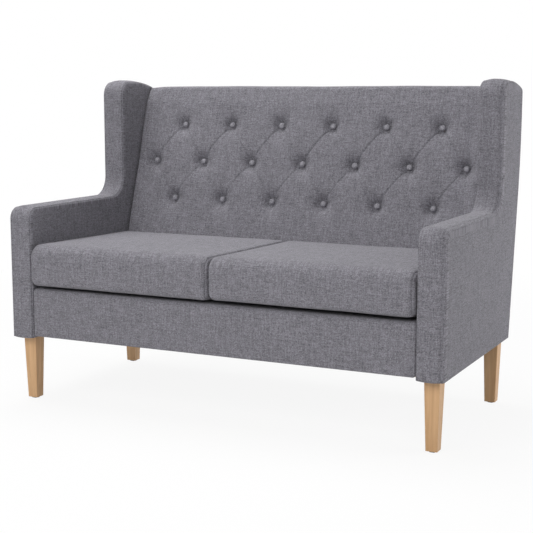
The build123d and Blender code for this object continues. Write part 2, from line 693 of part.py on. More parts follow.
def outside_back():
    """Lining board and fabric over the whole rear; both rise behind the back, clear of the wings' corners."""
    wing_top = WING_HEIGHT - WING_FALL - WING_REAR_RADIUS
    back_top = BACK_HEIGHT - BACK_TOP_RADIUS / 2
    wide = OVERALL_WIDTH / 2 - FABRIC
    for name, front, rear in (
        ("back_lining_board", REAR_SKIN, FABRIC),
        ("outside_back_cover", FABRIC, 0),
    ):
        sheet = rear_sheet(front, rear, wing_top, wide)
        node(name, sheet + rear_sheet(front, rear, back_top, INNER_HALF - EDGE_ROOM))


def cushion_section(swell, inset):
    """Section of a cushion drawn in by inset, where it has that share of its full swell."""
    out = BACK_CROWN + CUSHION_BACK_GAP
    front = CUSHION_FRONT + CUSHION_FRONT_SWELL * (1 - swell)
    top_front = SEAT_FRONT_HEIGHT + CUSHION_CROWN * (swell - 0.5)
    top_rear = BACK_REAR_SEAT_HEIGHT + CUSHION_CROWN * (swell - 0.5)
    corners = [
        (front, CUSHION_BOTTOM, CUSHION_BOTTOM_FRONT_RADIUS),
        (inside_face(CUSHION_BOTTOM, out), CUSHION_BOTTOM, CUSHION_BOTTOM_REAR_RADIUS),
        (inside_face(top_rear, out), top_rear, CUSHION_TOP_REAR_RADIUS),
        (front, top_front, CUSHION_TOP_FRONT_RADIUS),
    ]
    return outline(corners, [inset] * len(corners))


def cushion_block(inset, inside=False):
    """Seat cushion about x = 0 drawn in by inset: crowned top, swelling front, drawn-in sides.

    Its inside is plainer: chords for arcs and straight sides, as far in as they are drawn.
    """
    half = CUSHION_WIDTH / 2
    turns = (0, 1) if inside else (0, 0.5, 1)
    shares = (0.5, -0.5) if inside else (0.5, 0, -0.5)
    rounding = [CUSHION_SEAM_RADIUS * (1 - math.sin(math.pi / 2 * turn)) for turn in turns]
    ends = [(half - r, ease) for r, ease in zip(reversed(rounding), rounding)]
    middle = [(ends[-1][0] * share, 0) for share in shares]
    places = ends + middle + [(-x, ease) for x, ease in reversed(ends)]
    side = half - inset - (CUSHION_SIDE_DRAW if inside else 0)
    sections = []
    for x, ease in places:
        section = cushion_section(1 - (x / half) ** 2, inset + ease)
        section = faceted(section) if inside else section
        sections.append(Pos(x * side / half, 0, 0) * (Plane.YZ * section))
    solid = loft(sections, ruled=True)
    if inside:
        return solid

    depth0, depth1 = CUSHION_FRONT - OPEN_END, FRONT + BACK_SETBACK
    hollow = ThreePointArc((side, depth0), (side - CUSHION_SIDE_DRAW, (depth0 + depth1) / 2), (side, depth1))
    lens = extrude(make_face([hollow, Line(hollow @ 1, hollow @ 0)]), SEAT_FRONT_HEIGHT, both=True)
    return solid - [lens, mirror(lens, Plane.YZ)]


def cushion_core():
    """Foam slab about x = 0 with chamfered ends."""
    side = CUSHION_WIDTH / 2 - FOAM_INSET - CUSHION_SIDE_DRAW
    flat = side - CUSHION_SEAM_RADIUS
    rings = []
    for x, ease in ((-side, CUSHION_SEAM_RADIUS), (-flat, 0), (flat, 0), (side, CUSHION_SEAM_RADIUS)):
        points = chords(cushion_section(0, FOAM_INSET + ease))
        rings.append([(x, point.X, point.Y) for point in points])
    return ringed(rings)


def cushions():
    """Both cushions: cover, foam, zip in the rear of the cover, and the zip's slider."""
    out = BACK_CROWN + CUSHION_BACK_GAP
    middle_z = (CUSHION_BOTTOM + BACK_REAR_SEAT_HEIGHT) / 2
    rear = Plane((0, inside_face(middle_z, out), middle_z), (1, 0, 0), (0, math.cos(RAKE), -math.sin(RAKE)))
    slot = rear * Pos(0, 0, -FABRIC / 2) * Box(ZIP_LENGTH + FIT, ZIP_TAPE + FIT, 2 * FABRIC)
    cover = cushion_block(0) - cushion_block(FABRIC, inside=True) - slot
    foam = cushion_core()

    teeth_length = ZIP_LENGTH - 2 * ZIP_END
    tape = rear * Pos(0, 0, -FABRIC / 2) * Box(ZIP_LENGTH, ZIP_TAPE, FABRIC)
    teeth = rear * Pos(0, 0, ZIP_TEETH_HEIGHT / 2) * Box(teeth_length, ZIP_TEETH_WIDTH, ZIP_TEETH_HEIGHT)
    start = -teeth_length / 2 + SLIDER_LENGTH / 2
    lift = SOFT_GAP + SLIDER_HEIGHT / 2
    body = Pos(start, 0, lift) * Box(SLIDER_LENGTH, SLIDER_WIDTH, SLIDER_HEIGHT)
    channel = ZIP_TEETH_WIDTH + 2 * SOFT_GAP
    body -= Pos(start, 0, 0) * Box(2 * SLIDER_LENGTH, channel, 2 * (ZIP_TEETH_HEIGHT + SOFT_GAP))
    pull_lift = SOFT_GAP + SLIDER_HEIGHT + PULL_THICKNESS / 2
    pull = Pos(start, 0, pull_lift) * Box(PULL_LENGTH, PULL_WIDTH, PULL_THICKNESS)
    slider = rear * (body + pull)

    for side, sign in SIDES.items():
        place = Pos(sign * CUSHION_X, 0, 0)
        node(f"{side}_cushion_cover", place * cover)
        node(f"{side}_cushion_foam", place * foam)
        node(f"{side}_cushion_zip", place * (tape + teeth))
        node(f"{side}_zip_slider", place * slider)


def legs():
    """Tapered square legs with their hanger bolts, inserts and glides."""
    hangers = []
    inserts = []
    glides = []
    for name, x, y in leg_places():
        rings = []
        for width, z in ((LEG_FOOT, GLIDE_HEIGHT), (LEG_TOP, UNDERSIDE)):
            far, near = width / 2, width / 2 - LEG_EDGE
            corner = [(far, near), (near, far)]
            ring = corner + [(-a, b) for a, b in reversed(corner)]
            ring += [(-a, -b) for a, b in ring]
            rings.append([(x + a, y + b, z) for a, b in ring])
        leg = ringed(rings)
        node(f"{name}_leg", leg - post(x, y, UNDERSIDE - HANGER_IN_LEG, UNDERSIDE, HANGER_RADIUS + FIT))
        top = UNDERSIDE + FABRIC + HANGER_IN_SIDE
        hangers.append(post(x, y, UNDERSIDE - HANGER_IN_LEG, top, HANGER_RADIUS))
        bore = post(x, y, UNDERSIDE, top, HANGER_RADIUS + FIT)
        seat = UNDERSIDE + FABRIC
        inserts.append(post(x, y, seat, seat + INSERT_LENGTH, INSERT_RADIUS) - bore)
        glides.append(post(x, y, 0, GLIDE_HEIGHT, GLIDE_RADIUS))
    node("leg_hanger_bolts", *hangers)
    node("leg_inserts", *inserts)
    node("leg_glides", *glides)


def fasteners():
    """Bolts, washers and tee nuts between seat and sides, and screws between back and sides."""
    bolts = []
    washers = []
    nuts = []
    screws = []
    rail_face = INNER_HALF - SEAT_RAIL
    head_face = rail_face - WASHER_THICKNESS
    ply_face = INNER_HALF + PANEL_INSET + PLY
    for sign in SIDES.values():
        for y, z in bolt_places():
            shank = rod(sign * head_face, sign * (ply_face + BOLT_TAIL), y, z, BOLT_RADIUS)
            hexagon = Plane.YZ * (Pos(y, z) * RegularPolygon(BOLT_HEAD_RADIUS, 6))
            head = Pos(sign * head_face, 0, 0) * extrude(hexagon, BOLT_HEAD_HEIGHT, dir=(-sign, 0, 0))
            bolts.append(shank + head)
            bore = rod(sign * head_face, sign * (ply_face + BOLT_TAIL), y, z, BOLT_RADIUS + FIT)
            washers.append(rod(sign * head_face, sign * rail_face, y, z, WASHER_RADIUS) - bore)
            barrel = rod(sign * (ply_face - PLY), sign * ply_face, y, z, TEE_NUT_RADIUS)
            flange = rod(sign * ply_face, sign * (ply_face + TEE_NUT_FLANGE), y, z, TEE_NUT_FLANGE_RADIUS)
            nuts.append(barrel + flange - bore)
        stile_face = INNER_HALF - STILE_WIDTH
        for y, z in screw_places():
            shank = rod(sign * stile_face, sign * (ply_face + SCREW_GRIP), y, z, SCREW_RADIUS)
            head = rod(sign * (stile_face - SCREW_HEAD_HEIGHT), sign * stile_face, y, z, SCREW_HEAD_RADIUS)
            screws.append(shank + head)
    node("arm_bolts", *bolts)
    node("arm_bolt_washers", *washers)
    node("arm_tee_nuts", *nuts)
    node("back_screws", *screws)


os.makedirs("parts", exist_ok=True)
sides()
seat_frame()
seat_webbing()
seat_covers()
back_frame()
inside_back()
outside_back()
cushions()
legs()
fasteners()
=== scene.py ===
import json
import math

import bmesh
import bpy
import numpy as np
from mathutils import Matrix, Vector
from mathutils.geometry import delaunay_2d_cdt


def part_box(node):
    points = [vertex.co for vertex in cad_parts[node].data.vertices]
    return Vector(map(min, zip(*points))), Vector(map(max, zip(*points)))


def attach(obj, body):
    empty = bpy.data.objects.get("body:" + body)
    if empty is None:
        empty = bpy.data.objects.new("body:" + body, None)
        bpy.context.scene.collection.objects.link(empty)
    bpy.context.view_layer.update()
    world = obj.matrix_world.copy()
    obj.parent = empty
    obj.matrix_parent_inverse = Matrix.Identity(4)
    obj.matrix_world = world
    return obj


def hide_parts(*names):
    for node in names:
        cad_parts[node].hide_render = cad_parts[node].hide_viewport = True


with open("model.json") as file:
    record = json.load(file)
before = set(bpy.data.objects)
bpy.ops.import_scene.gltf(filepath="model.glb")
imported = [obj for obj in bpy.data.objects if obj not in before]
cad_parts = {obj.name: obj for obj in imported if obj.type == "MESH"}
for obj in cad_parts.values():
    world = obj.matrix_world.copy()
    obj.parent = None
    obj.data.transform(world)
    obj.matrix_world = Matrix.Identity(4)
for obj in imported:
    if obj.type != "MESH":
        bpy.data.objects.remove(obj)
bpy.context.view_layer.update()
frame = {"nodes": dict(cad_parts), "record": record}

# How far the soft padding stands proud of the frame's plain solids, in metres
SIDE_OUTER_FULLNESS = 0.0033
SIDE_INNER_FULLNESS = 0.0038
ARM_FRONT_FULLNESS = 0.003
RAIL_FRONT_FULLNESS = 0.013
RAIL_LIFT = 0.0035
BACK_SIDE_GAP = 0.0035

# Places read from the frame, in metres
SIDE_LOW, SIDE_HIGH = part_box("left_arm_outer_cover")
FRONT = SIDE_LOW.y
UNDERSIDE = SIDE_LOW.z
WING_HEIGHT = SIDE_HIGH.z
ARM_FRONT = FRONT - ARM_FRONT_FULLNESS
OUTER_HALF = SIDE_OUTER_FULLNESS - SIDE_LOW.x
INNER_HALF = -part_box("left_arm_inner_cover")[1].x - SIDE_INNER_FULLNESS
REAR_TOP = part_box("outside_back_cover")[1].y
REAR_FOOT = FRONT + 0.571
PAD_LOW, PAD_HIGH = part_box("inside_back_cover")
PAD_HALF = PAD_HIGH.x - SIDE_INNER_FULLNESS - BACK_SIDE_GAP
BACK_HEIGHT = PAD_HIGH.z
RAIL_LOW, RAIL_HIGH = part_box("front_rail_cover")

# Winged sides
ARM_HEIGHT = 0.528
WING_SETBACK = 0.455
WING_FALL = 0.018
WING_FALL_RUN = 0.069
REAR_RAKE = math.radians(8.6)
REAR_BEND_RADIUS = 1.47
REAR_SKIN = 0.0035
ARM_FRONT_RADIUS = 0.032
NOTCH_RADIUS = 0.058
WING_FRONT_RADIUS = 0.040
WING_TOP_RADIUS = 0.38
WING_REAR_RADIUS = 0.015
OUTER_EDGE_RADIUS = 0.010
OUTER_SEAM_TURN = 80
INNER_EDGE_RADIUS = 0.006
INNER_SEAM_TURN = 45
BAND_CROWN = 0.0012
BAND_TOP_CROWN = 0.003
SIDE_STEP = 0.008
SEAM_DEPTH = 0.003
SEAM_HALF_WIDTH = 0.0014
PUCKER_LENGTH = 0.034
PUCKER_HEIGHT = 0.00025
BAND_SAG = 0.0006
OUTER_CROWN = 0.0012
OUTER_UNEVENNESS = 0.0005
INNER_CROWN = 0.0004
INNER_UNEVENNESS = 0.0004
SIDE_CROWN_RUN = 0.05

# Tufted inside back
BACK_SETBACK = 0.479
BACK_SEAT_HEIGHT = 0.420
BACK_TOP_DEPTH = 0.031
BACK_CROWN = 0.006
BACK_MARGIN_LIFT = 0.009
BACK_MARGIN_START = 0.487
BACK_MARGIN_RUN = 0.036
BACK_EDGE_DEPTH = 0.018
BACK_EDGE_WIDTH = 0.004
BACK_TOP_RADIUS = 0.015
BACK_END_DIP = 0.004
BACK_END_RUN = 0.03
BACK_HEM = 0.009
TUFT_PITCH = 0.161
TUFT_ROW_RISE = 0.1127
TUFT_TOP_ROW_DROP = 0.109
TUFT_DEPTH = 0.023
TUFT_FLAT_RADIUS = 0.009
TUFT_NEAR_SPREAD = 0.0085
TUFT_FAR_SPREAD = 0.018
TUFT_NEAR_SHARE = 0.62
TUFT_FAR_SHARE = 0.38
TUFT_UPPER_PULL = 0.45
TUFT_FAN = 0.0042
TUFT_FAN_PLACE = 0.017
TUFT_FAN_WIDTH = 0.009
PLEAT_CREASE_WIDTH = 0.0019
PLEAT_VALLEY_WIDTH = 0.011
PLEAT_LIP_SHARE = 0.4
PLEAT_LIP_PLACE = 0.006
PLEAT_LIP_WIDTH = 0.005
PLEAT_END = 0.006
FREE_FOLD_LONGEST = 0.1
BUTTON_RADIUS = 0.0083
BUTTON_HEIGHT = 0.009
BACK_STEP = 0.002

# Seat cushions, front rail and zips
CUSHION_TOP_FRONT_RADIUS = 0.032
CUSHION_TOP_REAR_RADIUS = 0.018
CUSHION_BOTTOM_FRONT_RADIUS = 0.019
CUSHION_BOTTOM_REAR_RADIUS = 0.016
CUSHION_SEAM_RADIUS = 0.018
CUSHION_SEAM_DEPTH = 0.0024
CUSHION_SEAM_TURN = 45
CUSHION_PLAN_RADIUS = 0.016
CUSHION_GAP_FULLNESS = 0.001
CUSHION_SEAM_RISE = 0.022
CUSHION_FRONT_LIFT = {"left": 0.0105, "right": 0.0135}
CUSHION_PUFF = 0.006
PUFF_FRAMES = 20
PUFF_PRESSURE = 4.0
PUFF_STIFFNESS = 15.0
PUFF_BENDING = 0.8
PUFF_GROWTH = 0.006
CUSHION_GROOVE = 0.0016
CUSHION_UNEVENNESS = 0.0012
CUSHION_BACK_GAP = 0.007
SEAT_FRONT_HEIGHT = 0.428
CUSHION_STEP = 0.009
RAIL_STEP = 0.008
RAIL_END_RUN = 0.005
RAIL_ENDS = ((0.0, 0.008), (0.0, 0.005), (0.0015, 0.0022), (RAIL_END_RUN, 0.0))
RAIL_CROWN = 0.0022
RAIL_UNEVENNESS = 0.0007
BACK_CLOTH_STEP_DOWN = 0.0105
BACK_CLOTH_FOLDS = {"foot": 0.0022, "top": 0.006, "ends": 0.0045}
ZIP_TAPE = 0.024
ZIP_CHAIN = 0.005
ZIP_PITCH = 0.0024
ZIP_END = 0.008

# Photograph's camera and surroundings
CAMERA_PLACE = (1.3994, -2.8492, 0.8353)
CAMERA_AIM = (-0.43462, 0.88859, -0.14667)
CAMERA_LENS = 80.08
SENSOR_WIDTH = 36.0
AMBIENT = 0.06
FLOOR_REACH = 60.0
LAMP_AIM = (0.0, 0.0, 0.45)

REAR_BEND = UNDERSIDE + (REAR_TOP - REAR_FOOT) / math.tan(REAR_RAKE)
RAKE = math.atan((REAR_TOP - BACK_TOP_DEPTH - FRONT - BACK_SETBACK) / (BACK_HEIGHT - BACK_SEAT_HEIGHT))
CLOTH = "cloth"


# Lines and meshes

def arc_through(here, before, after, radius, count):
    """Points round a corner of a radius, between the directions back and on along the line."""
    half = math.acos(np.clip(before @ after, -1, 1)) / 2
    centre = here + (before + after) / np.linalg.norm(before + after) * radius / math.sin(half)
    first = here + before * radius / math.tan(half) - centre
    last = here + after * radius / math.tan(half) - centre
    sweep = math.pi - 2 * half
    turns = np.linspace(0, sweep, count + 1)
    return [centre + (math.sin(sweep - t) * first + math.sin(t) * last) / math.sin(sweep) for t in turns]


def rounded_loop(corners, step, inset=0.0):
    """Closed line of points about a step apart through corners, each edge drawn in by its share of an inset.

    A corner is (a, b, radius, share), with the share of the edge that follows it.
    """
    places = np.array([corner[:2] for corner in corners])
    runs = np.roll(places, -1, 0) - places
    gaps = np.linalg.norm(runs, axis=1)
    ahead = runs / gaps[:, None]
    stops = []
    for i, (_, _, radius, share) in enumerate(corners):
        before, after = -ahead[i - 1], ahead[i]
        facing = np.array(((-ahead[i - 1][1], ahead[i - 1][0]), (-after[1], after[0])))
        draw = inset * np.array((corners[i - 1][3], share))
        here = places[i] + np.linalg.solve(facing, draw)
        if radius == 0:
            stops.append([here])
            continue
        hollow = before[0] * after[1] - before[1] * after[0] > 0
        sweep = math.pi - math.acos(np.clip(before @ after, -1, 1))
        count = max(9, math.ceil(sweep * radius / step))
        drawn = radius + inset if hollow else max(radius - inset, 0.0015)
        stops.append(arc_through(here, before, after, drawn, count))
    points = []
    for i, stop in enumerate(stops):
        points += stop
        count = max(1, round(gaps[i] / step))
        run = stops[(i + 1) % len(stops)][0] - stop[-1]
        points += [stop[-1] + run * j / count for j in range(1, count)]
    return np.array(points)


def inward(loop):
    """Mitred inward direction at each point of a counter-clockwise loop."""
    along = np.roll(loop, -1, 0) - loop
    along /= np.linalg.norm(along, axis=1)[:, None]
    left = np.stack([-along[:, 1], along[:, 0]], 1)
    before = np.roll(left, 1, 0)
    return (left + before) / (1 + np.sum(left * before, 1))[:, None]


def arc_length(loop):
    """Distance along a closed loop at each point, and once more at its end."""
    steps = np.linalg.norm(np.roll(loop, -1, 0) - loop, axis=1)
    return np.concatenate([[0], np.cumsum(steps)])


def inside(points, loop):
    """Which points lie inside a closed loop."""
    a, b = loop, np.roll(loop, -1, 0)
    x, y = points[:, :1], points[:, 1:]
    crosses = (a[:, 1] > y) != (b[:, 1] > y)
    rise = np.where(b[:, 1] == a[:, 1], 1e-12, b[:, 1] - a[:, 1])
    hit = x < (b[:, 0] - a[:, 0]) * (y - a[:, 1]) / rise + a[:, 0]
    return (crosses & hit).sum(1) % 2 == 1


def edge_distance(points, loop):
    """Distance from each point to a closed loop."""
    a, run = loop, np.roll(loop, -1, 0) - loop
    share = ((points[:, None] - a) * run).sum(2) / (run * run).sum(1)
    near = a + np.clip(share, 0, 1)[..., None] * run
    return np.linalg.norm(points[:, None] - near, axis=2).min(1)


def ripple(a, b, seed):
    """Smooth unevenness between about -1 and 1 over a surface."""
    total = 0
    for i in range(4):
        turn = 1.7 * i + seed
        scale = 7.0 * 1.8**i
        total = total + np.sin(scale * (a * math.cos(turn) + b * math.sin(turn)) + 2.3 * turn) / (i + 1.6)
    return total / 1.4


def finish_mesh(name, verts, faces, corners_uv, material):
    """Object of a mesh with its cloth directions, smooth and facing out."""
    mesh = bpy.data.meshes.new(name)
    mesh.from_pydata([tuple(v) for v in verts], [], faces)
    layer = mesh.uv_layers.new(name=CLOTH)
    flat = np.concatenate([np.asarray(uv, dtype=np.float32).reshape(-1, 2) for uv in corners_uv])
    layer.data.foreach_set("uv", flat.ravel())
    shape = bmesh.new()
    shape.from_mesh(mesh)
    bmesh.ops.recalc_face_normals(shape, faces=shape.faces)
    shape.to_mesh(mesh)
    shape.free()
    mesh.polygons.foreach_set("use_smooth", np.ones(len(mesh.polygons), dtype=bool))
    piece = bpy.data.objects.new(name, mesh)
    bpy.context.scene.collection.objects.link(piece)
    mesh.materials.append(material)
    return piece


def boxed(name, corners, step, rows, crowns, panel_step, material):
    """Sewn box: a band of rows round a (y, z) outline, closed by a panel at each end.

    A row is (x, inset, swell), and x and swell may differ from point to point. A crown gives how far a
    panel's points stand out from its seam.
    """
    loop = rounded_loop(corners, step)
    push = inward(loop)
    count = len(loop)
    along = arc_length(loop)
    rings = [rounded_loop(corners, step, inset) - push * np.reshape(swell, (-1, 1))
             for _, inset, swell in rows]
    stations = [np.broadcast_to(row[0], count) for row in rows]
    verts = [(x, y, z) for station, ring in zip(stations, rings) for x, (y, z) in zip(station, ring)]
    faces = []
    uvs = []
    for r in range(len(rows) - 1):
        low, high = np.mean(stations[r]), np.mean(stations[r + 1])
        for i in range(count):
            j = (i + 1) % count
            faces.append((r * count + i, r * count + j, (r + 1) * count + j, (r + 1) * count + i))
            uvs.append([(low, along[i]), (low, along[i + 1]), (high, along[i + 1]), (high, along[i])])
    for end, crown in ((0, crowns[0]), (len(rows) - 1, crowns[1])):
        x, ring = np.median(stations[end]), rings[end]
        low, high = ring.min(0), ring.max(0)
        grid = np.stack(np.meshgrid(np.arange(low[0], high[0], panel_step),
                                    np.arange(low[1], high[1], panel_step)), -1).reshape(-1, 2)
        grid = grid[inside(grid, ring)]
        away = edge_distance(grid, ring)
        grid, away = grid[away > 0.6 * panel_step], away[away > 0.6 * panel_step]
        flat = [Vector(p) for p in ring] + [Vector(p) for p in grid]
        rim = [(i, (i + 1) % count) for i in range(count)]
        _, _, triangles, origins, _, _ = delaunay_2d_cdt(flat, rim, [], 1, 1e-6)
        start = len(verts)
        verts += [(x + lift, p[0], p[1]) for p, lift in zip(grid, crown(grid, away))]
        index = [end * count + i for i in range(count)] + [start + i for i in range(len(grid))]
        for triangle in triangles:
            own = [origins[v][0] for v in triangle]
            faces.append(tuple(index[v] for v in own))
            uvs.append([tuple(flat[v]) for v in own])
    return finish_mesh(name, verts, faces, uvs, material)


def draped(name, points, cloth, material, wrapped=False):
    """Sheet through a grid of points, each with its place on the cloth.

    Wrapped joins it to a closed tube with ends.
    """
    rows, columns = points.shape[:2]
    index = np.arange(rows * columns).reshape(rows, columns)
    flat = cloth.reshape(-1, 2)
    if wrapped:
        index = np.concatenate([index, index[:1]], 0)
    quads = np.stack([index[:-1, :-1], index[:-1, 1:], index[1:, 1:], index[1:, :-1]], -1).reshape(-1, 4)
    faces = [tuple(q) for q in quads.tolist()]
    uvs = list(flat[quads])
    if wrapped:
        for end in (index[:-1, 0], index[:-1, -1]):
            faces.append(tuple(end.tolist()))
            uvs.append(flat[end])
    return finish_mesh(name, points.reshape(-1, 3), faces, uvs, material)


# Materials

def node_maker(tree):
    """Function that adds nodes to a tree."""
    def add(kind, links=None, **settings):
        """Node with settings, whose inputs take sockets or values."""
        node = tree.nodes.new(kind)
        for key, value in settings.items():
            setattr(node, key, value)
        for key, value in (links or {}).items():
            if isinstance(value, bpy.types.NodeSocket):
                tree.links.new(value, node.inputs[key])
            else:
                node.inputs[key].default_value = value
        return node

    return add


def material_base(name):
    """New material, its node maker and its shader."""
    material = bpy.data.materials.new(name)
    material.use_nodes = True
    tree = material.node_tree
    shader = tree.nodes["Principled BSDF"]
    return material, node_maker(tree), shader, tree.links


def group_base(name, inputs, outputs):
    """New shader node group with named sockets, and its node maker."""
    tree = bpy.data.node_groups.new(name, "ShaderNodeTree")
    for label, kind, value in inputs:
        socket = tree.interface.new_socket(label, in_out="INPUT", socket_type=kind)
        if value is not None:
            socket.default_value = value
    for label, kind in outputs:
        tree.interface.new_socket(label, in_out="OUTPUT", socket_type=kind)
    enter = tree.nodes.new("NodeGroupInput")
    leave = tree.nodes.new("NodeGroupOutput")

    def out(label, socket):
        """Connect one output of the group."""
        tree.links.new(socket, leave.inputs[label])

    return tree, node_maker(tree), enter.outputs, out


def math_node(add, operation, first, second=None):
    """Output of a Math node."""
    links = {0: first}
    if second is not None:
        links[1] = second
    return add("ShaderNodeMath", links, operation=operation).outputs[0]


def weave_group():
    """Plain weave of flecked yarns: how light the yarn on top is, with painted shade in the hollows between
    crossings, and its height.
    """
    tree, add, given, out = group_base(
        "plain_weave",
        [("Cloth", "NodeSocketVector", None), ("Pitch", "NodeSocketFloat", 0.0012),
         ("Fleck", "NodeSocketFloat", 0.007), ("Contrast", "NodeSocketFloat", 1.0)],
        [("Lightness", "NodeSocketFloat"), ("Height", "NodeSocketFloat")],
    )
    split = add("ShaderNodeSeparateXYZ", {0: given["Cloth"]})
    across, up = split.outputs["X"], split.outputs["Y"]
    yarns = {}
    waves = {}
    for axis, place in (("warp", across), ("weft", up)):
        turn = math_node(add, "DIVIDE", place, given["Pitch"])
        yarns[axis] = math_node(add, "FLOOR", turn)
        waves[axis] = math_node(add, "SINE", math_node(add, "MULTIPLY", turn, math.pi))
    flecks = {}
    for axis, along, seed in (("warp", up, 0.0), ("weft", across, 31.7)):
        yarn = math_node(add, "MULTIPLY", yarns[axis], 2.37)
        run = math_node(add, "DIVIDE", along, given["Fleck"])
        place = add("ShaderNodeCombineXYZ", {0: yarn, 1: run, 2: seed}).outputs[0]
        fine = add("ShaderNodeTexNoise", {"Vector": place, "Scale": 1.0, "Detail": 1.0, "Roughness": 0.6})
        slow = math_node(add, "MULTIPLY", run, 0.16)
        place = add("ShaderNodeCombineXYZ", {0: yarn, 1: slow, 2: seed + 11.3}).outputs[0]
        slub = add("ShaderNodeTexNoise", {"Vector": place, "Scale": 1.0, "Detail": 1.0})
        uneven = math_node(add, "MULTIPLY", math_node(add, "SUBTRACT", slub.outputs["Fac"], 0.5), 0.7)
        flecks[axis] = math_node(add, "ADD", fine.outputs["Fac"], uneven)
    crossing = math_node(add, "MULTIPLY", waves["warp"], waves["weft"])
    on_top = math_node(add, "GREATER_THAN", crossing, 0.0)
    shown = add("ShaderNodeMix", {0: on_top, 2: flecks["weft"], 3: flecks["warp"]}).outputs[0]
    spread = math_node(add, "MULTIPLY", math_node(add, "SUBTRACT", shown, 0.5), given["Contrast"])
    ridge = math_node(add, "ABSOLUTE", crossing)
    # Painted shade: the yarn's lightness is lowered in the hollows between crossings and raised on their
    # ridges
    hollow = math_node(add, "MULTIPLY", math_node(add, "SUBTRACT", ridge, 0.4), 0.3)
    light = math_node(add, "ADD", math_node(add, "ADD", spread, 0.5), hollow)
    clamp = add("ShaderNodeClamp", {"Value": light})
    out("Lightness", clamp.outputs[0])
    out("Height", math_node(add, "ADD", ridge, math_node(add, "MULTIPLY", shown, 0.6)))
    return tree


def woven(name, weave, dark, light, pitch, fleck, contrast, sheen, coordinates=CLOTH):
    """Woven cloth of dark and light flecks."""
    material, add, shader, links = material_base(name)
    if coordinates == CLOTH:
        place = add("ShaderNodeUVMap", uv_map=CLOTH).outputs["UV"]
    else:
        place = add("ShaderNodeTexCoord").outputs["Object"]
    yarn = add("ShaderNodeGroup", node_tree=weave)
    links.new(place, yarn.inputs["Cloth"])
    for label, value in (("Pitch", pitch), ("Fleck", fleck), ("Contrast", contrast)):
        yarn.inputs[label].default_value = value
    tone = add("ShaderNodeMix", {0: yarn.outputs["Lightness"], 6: dark, 7: light}, data_type="RGBA")
    links.new(tone.outputs[2], shader.inputs["Base Color"])
    bump = add("ShaderNodeBump", {"Height": yarn.outputs["Height"], "Strength": 0.5, "Distance": 0.0004})
    links.new(bump.outputs["Normal"], shader.inputs["Normal"])
    shader.inputs["Roughness"].default_value = 0.92
    shader.inputs["Specular IOR Level"].default_value = 0.18
    shader.inputs["Sheen Weight"].default_value = sheen
    shader.inputs["Sheen Roughness"].default_value = 0.55
    return material


def grain_group():
    """Wood grain along Z: a mask of darker lines and a height."""
    tree, add, given, out = group_base(
        "wood_grain",
        [("Place", "NodeSocketVector", None), ("Fineness", "NodeSocketFloat", 1.0)],
        [("Lines", "NodeSocketFloat"), ("Pores", "NodeSocketFloat")],
    )
    sized = add("ShaderNodeVectorMath", {0: given["Place"], "Scale": given["Fineness"]},
                operation="SCALE").outputs[0]
    drift = add("ShaderNodeTexNoise", {"Vector": sized, "Scale": 9.0, "Detail": 2.0})
    long = add("ShaderNodeVectorMath", {0: sized, 1: (105.0, 85.0, 4.5)}, operation="MULTIPLY").outputs[0]
    bent = add("ShaderNodeVectorMath", {0: long, 1: drift.outputs["Color"]}, operation="ADD").outputs[0]
    rings = add("ShaderNodeTexNoise", {"Vector": bent, "Scale": 1.0, "Detail": 4.0, "Roughness": 0.6,
                                       "Distortion": 0.4})
    fine = add("ShaderNodeVectorMath", {0: sized, 1: (1500.0, 1500.0, 26.0)}, operation="MULTIPLY").outputs[0]
    pores = add("ShaderNodeTexNoise", {"Vector": fine, "Scale": 1.0, "Detail": 2.0})
    out("Lines", rings.outputs["Fac"])
    out("Pores", pores.outputs["Fac"])
    return tree


def timber(name, grain, light, dark, fineness, roughness, coat=0.0, turn=(0.0, 0.0, 0.0)):
    """Wood with its grain along Z, or along another axis after a turn."""
    material, add, shader, links = material_base(name)
    place = add("ShaderNodeTexCoord").outputs["Object"]
    turned = add("ShaderNodeMapping", {"Vector": place, "Rotation": turn}).outputs[0]
    figure = add("ShaderNodeGroup", node_tree=grain)
    links.new(turned, figure.inputs["Place"])
    figure.inputs["Fineness"].default_value = fineness
    spread = add("ShaderNodeMapRange", {"Value": figure.outputs["Lines"], "From Min": 0.3, "From Max": 0.72})
    tone = add("ShaderNodeMix", {0: spread.outputs[0], 6: light, 7: dark}, data_type="RGBA")
    pores = add("ShaderNodeMapRange", {"Value": figure.outputs["Pores"], "From Min": 0.62, "From Max": 0.8,
                                       "To Min": 1.0, "To Max": 0.86})
    shade = add("ShaderNodeVectorMath", {0: tone.outputs[2], "Scale": pores.outputs[0]}, operation="SCALE")
    links.new(shade.outputs[0], shader.inputs["Base Color"])
    rough = add("ShaderNodeMapRange", {"Value": figure.outputs["Pores"], "To Min": roughness - 0.06,
                                       "To Max": roughness + 0.1})
    links.new(rough.outputs[0], shader.inputs["Roughness"])
    bump = add("ShaderNodeBump", {"Height": figure.outputs["Pores"], "Strength": 0.25, "Distance": 0.0002})
    links.new(bump.outputs["Normal"], shader.inputs["Normal"])
    shader.inputs["Coat Weight"].default_value = coat
    shader.inputs["Coat Roughness"].default_value = 0.35
    return material


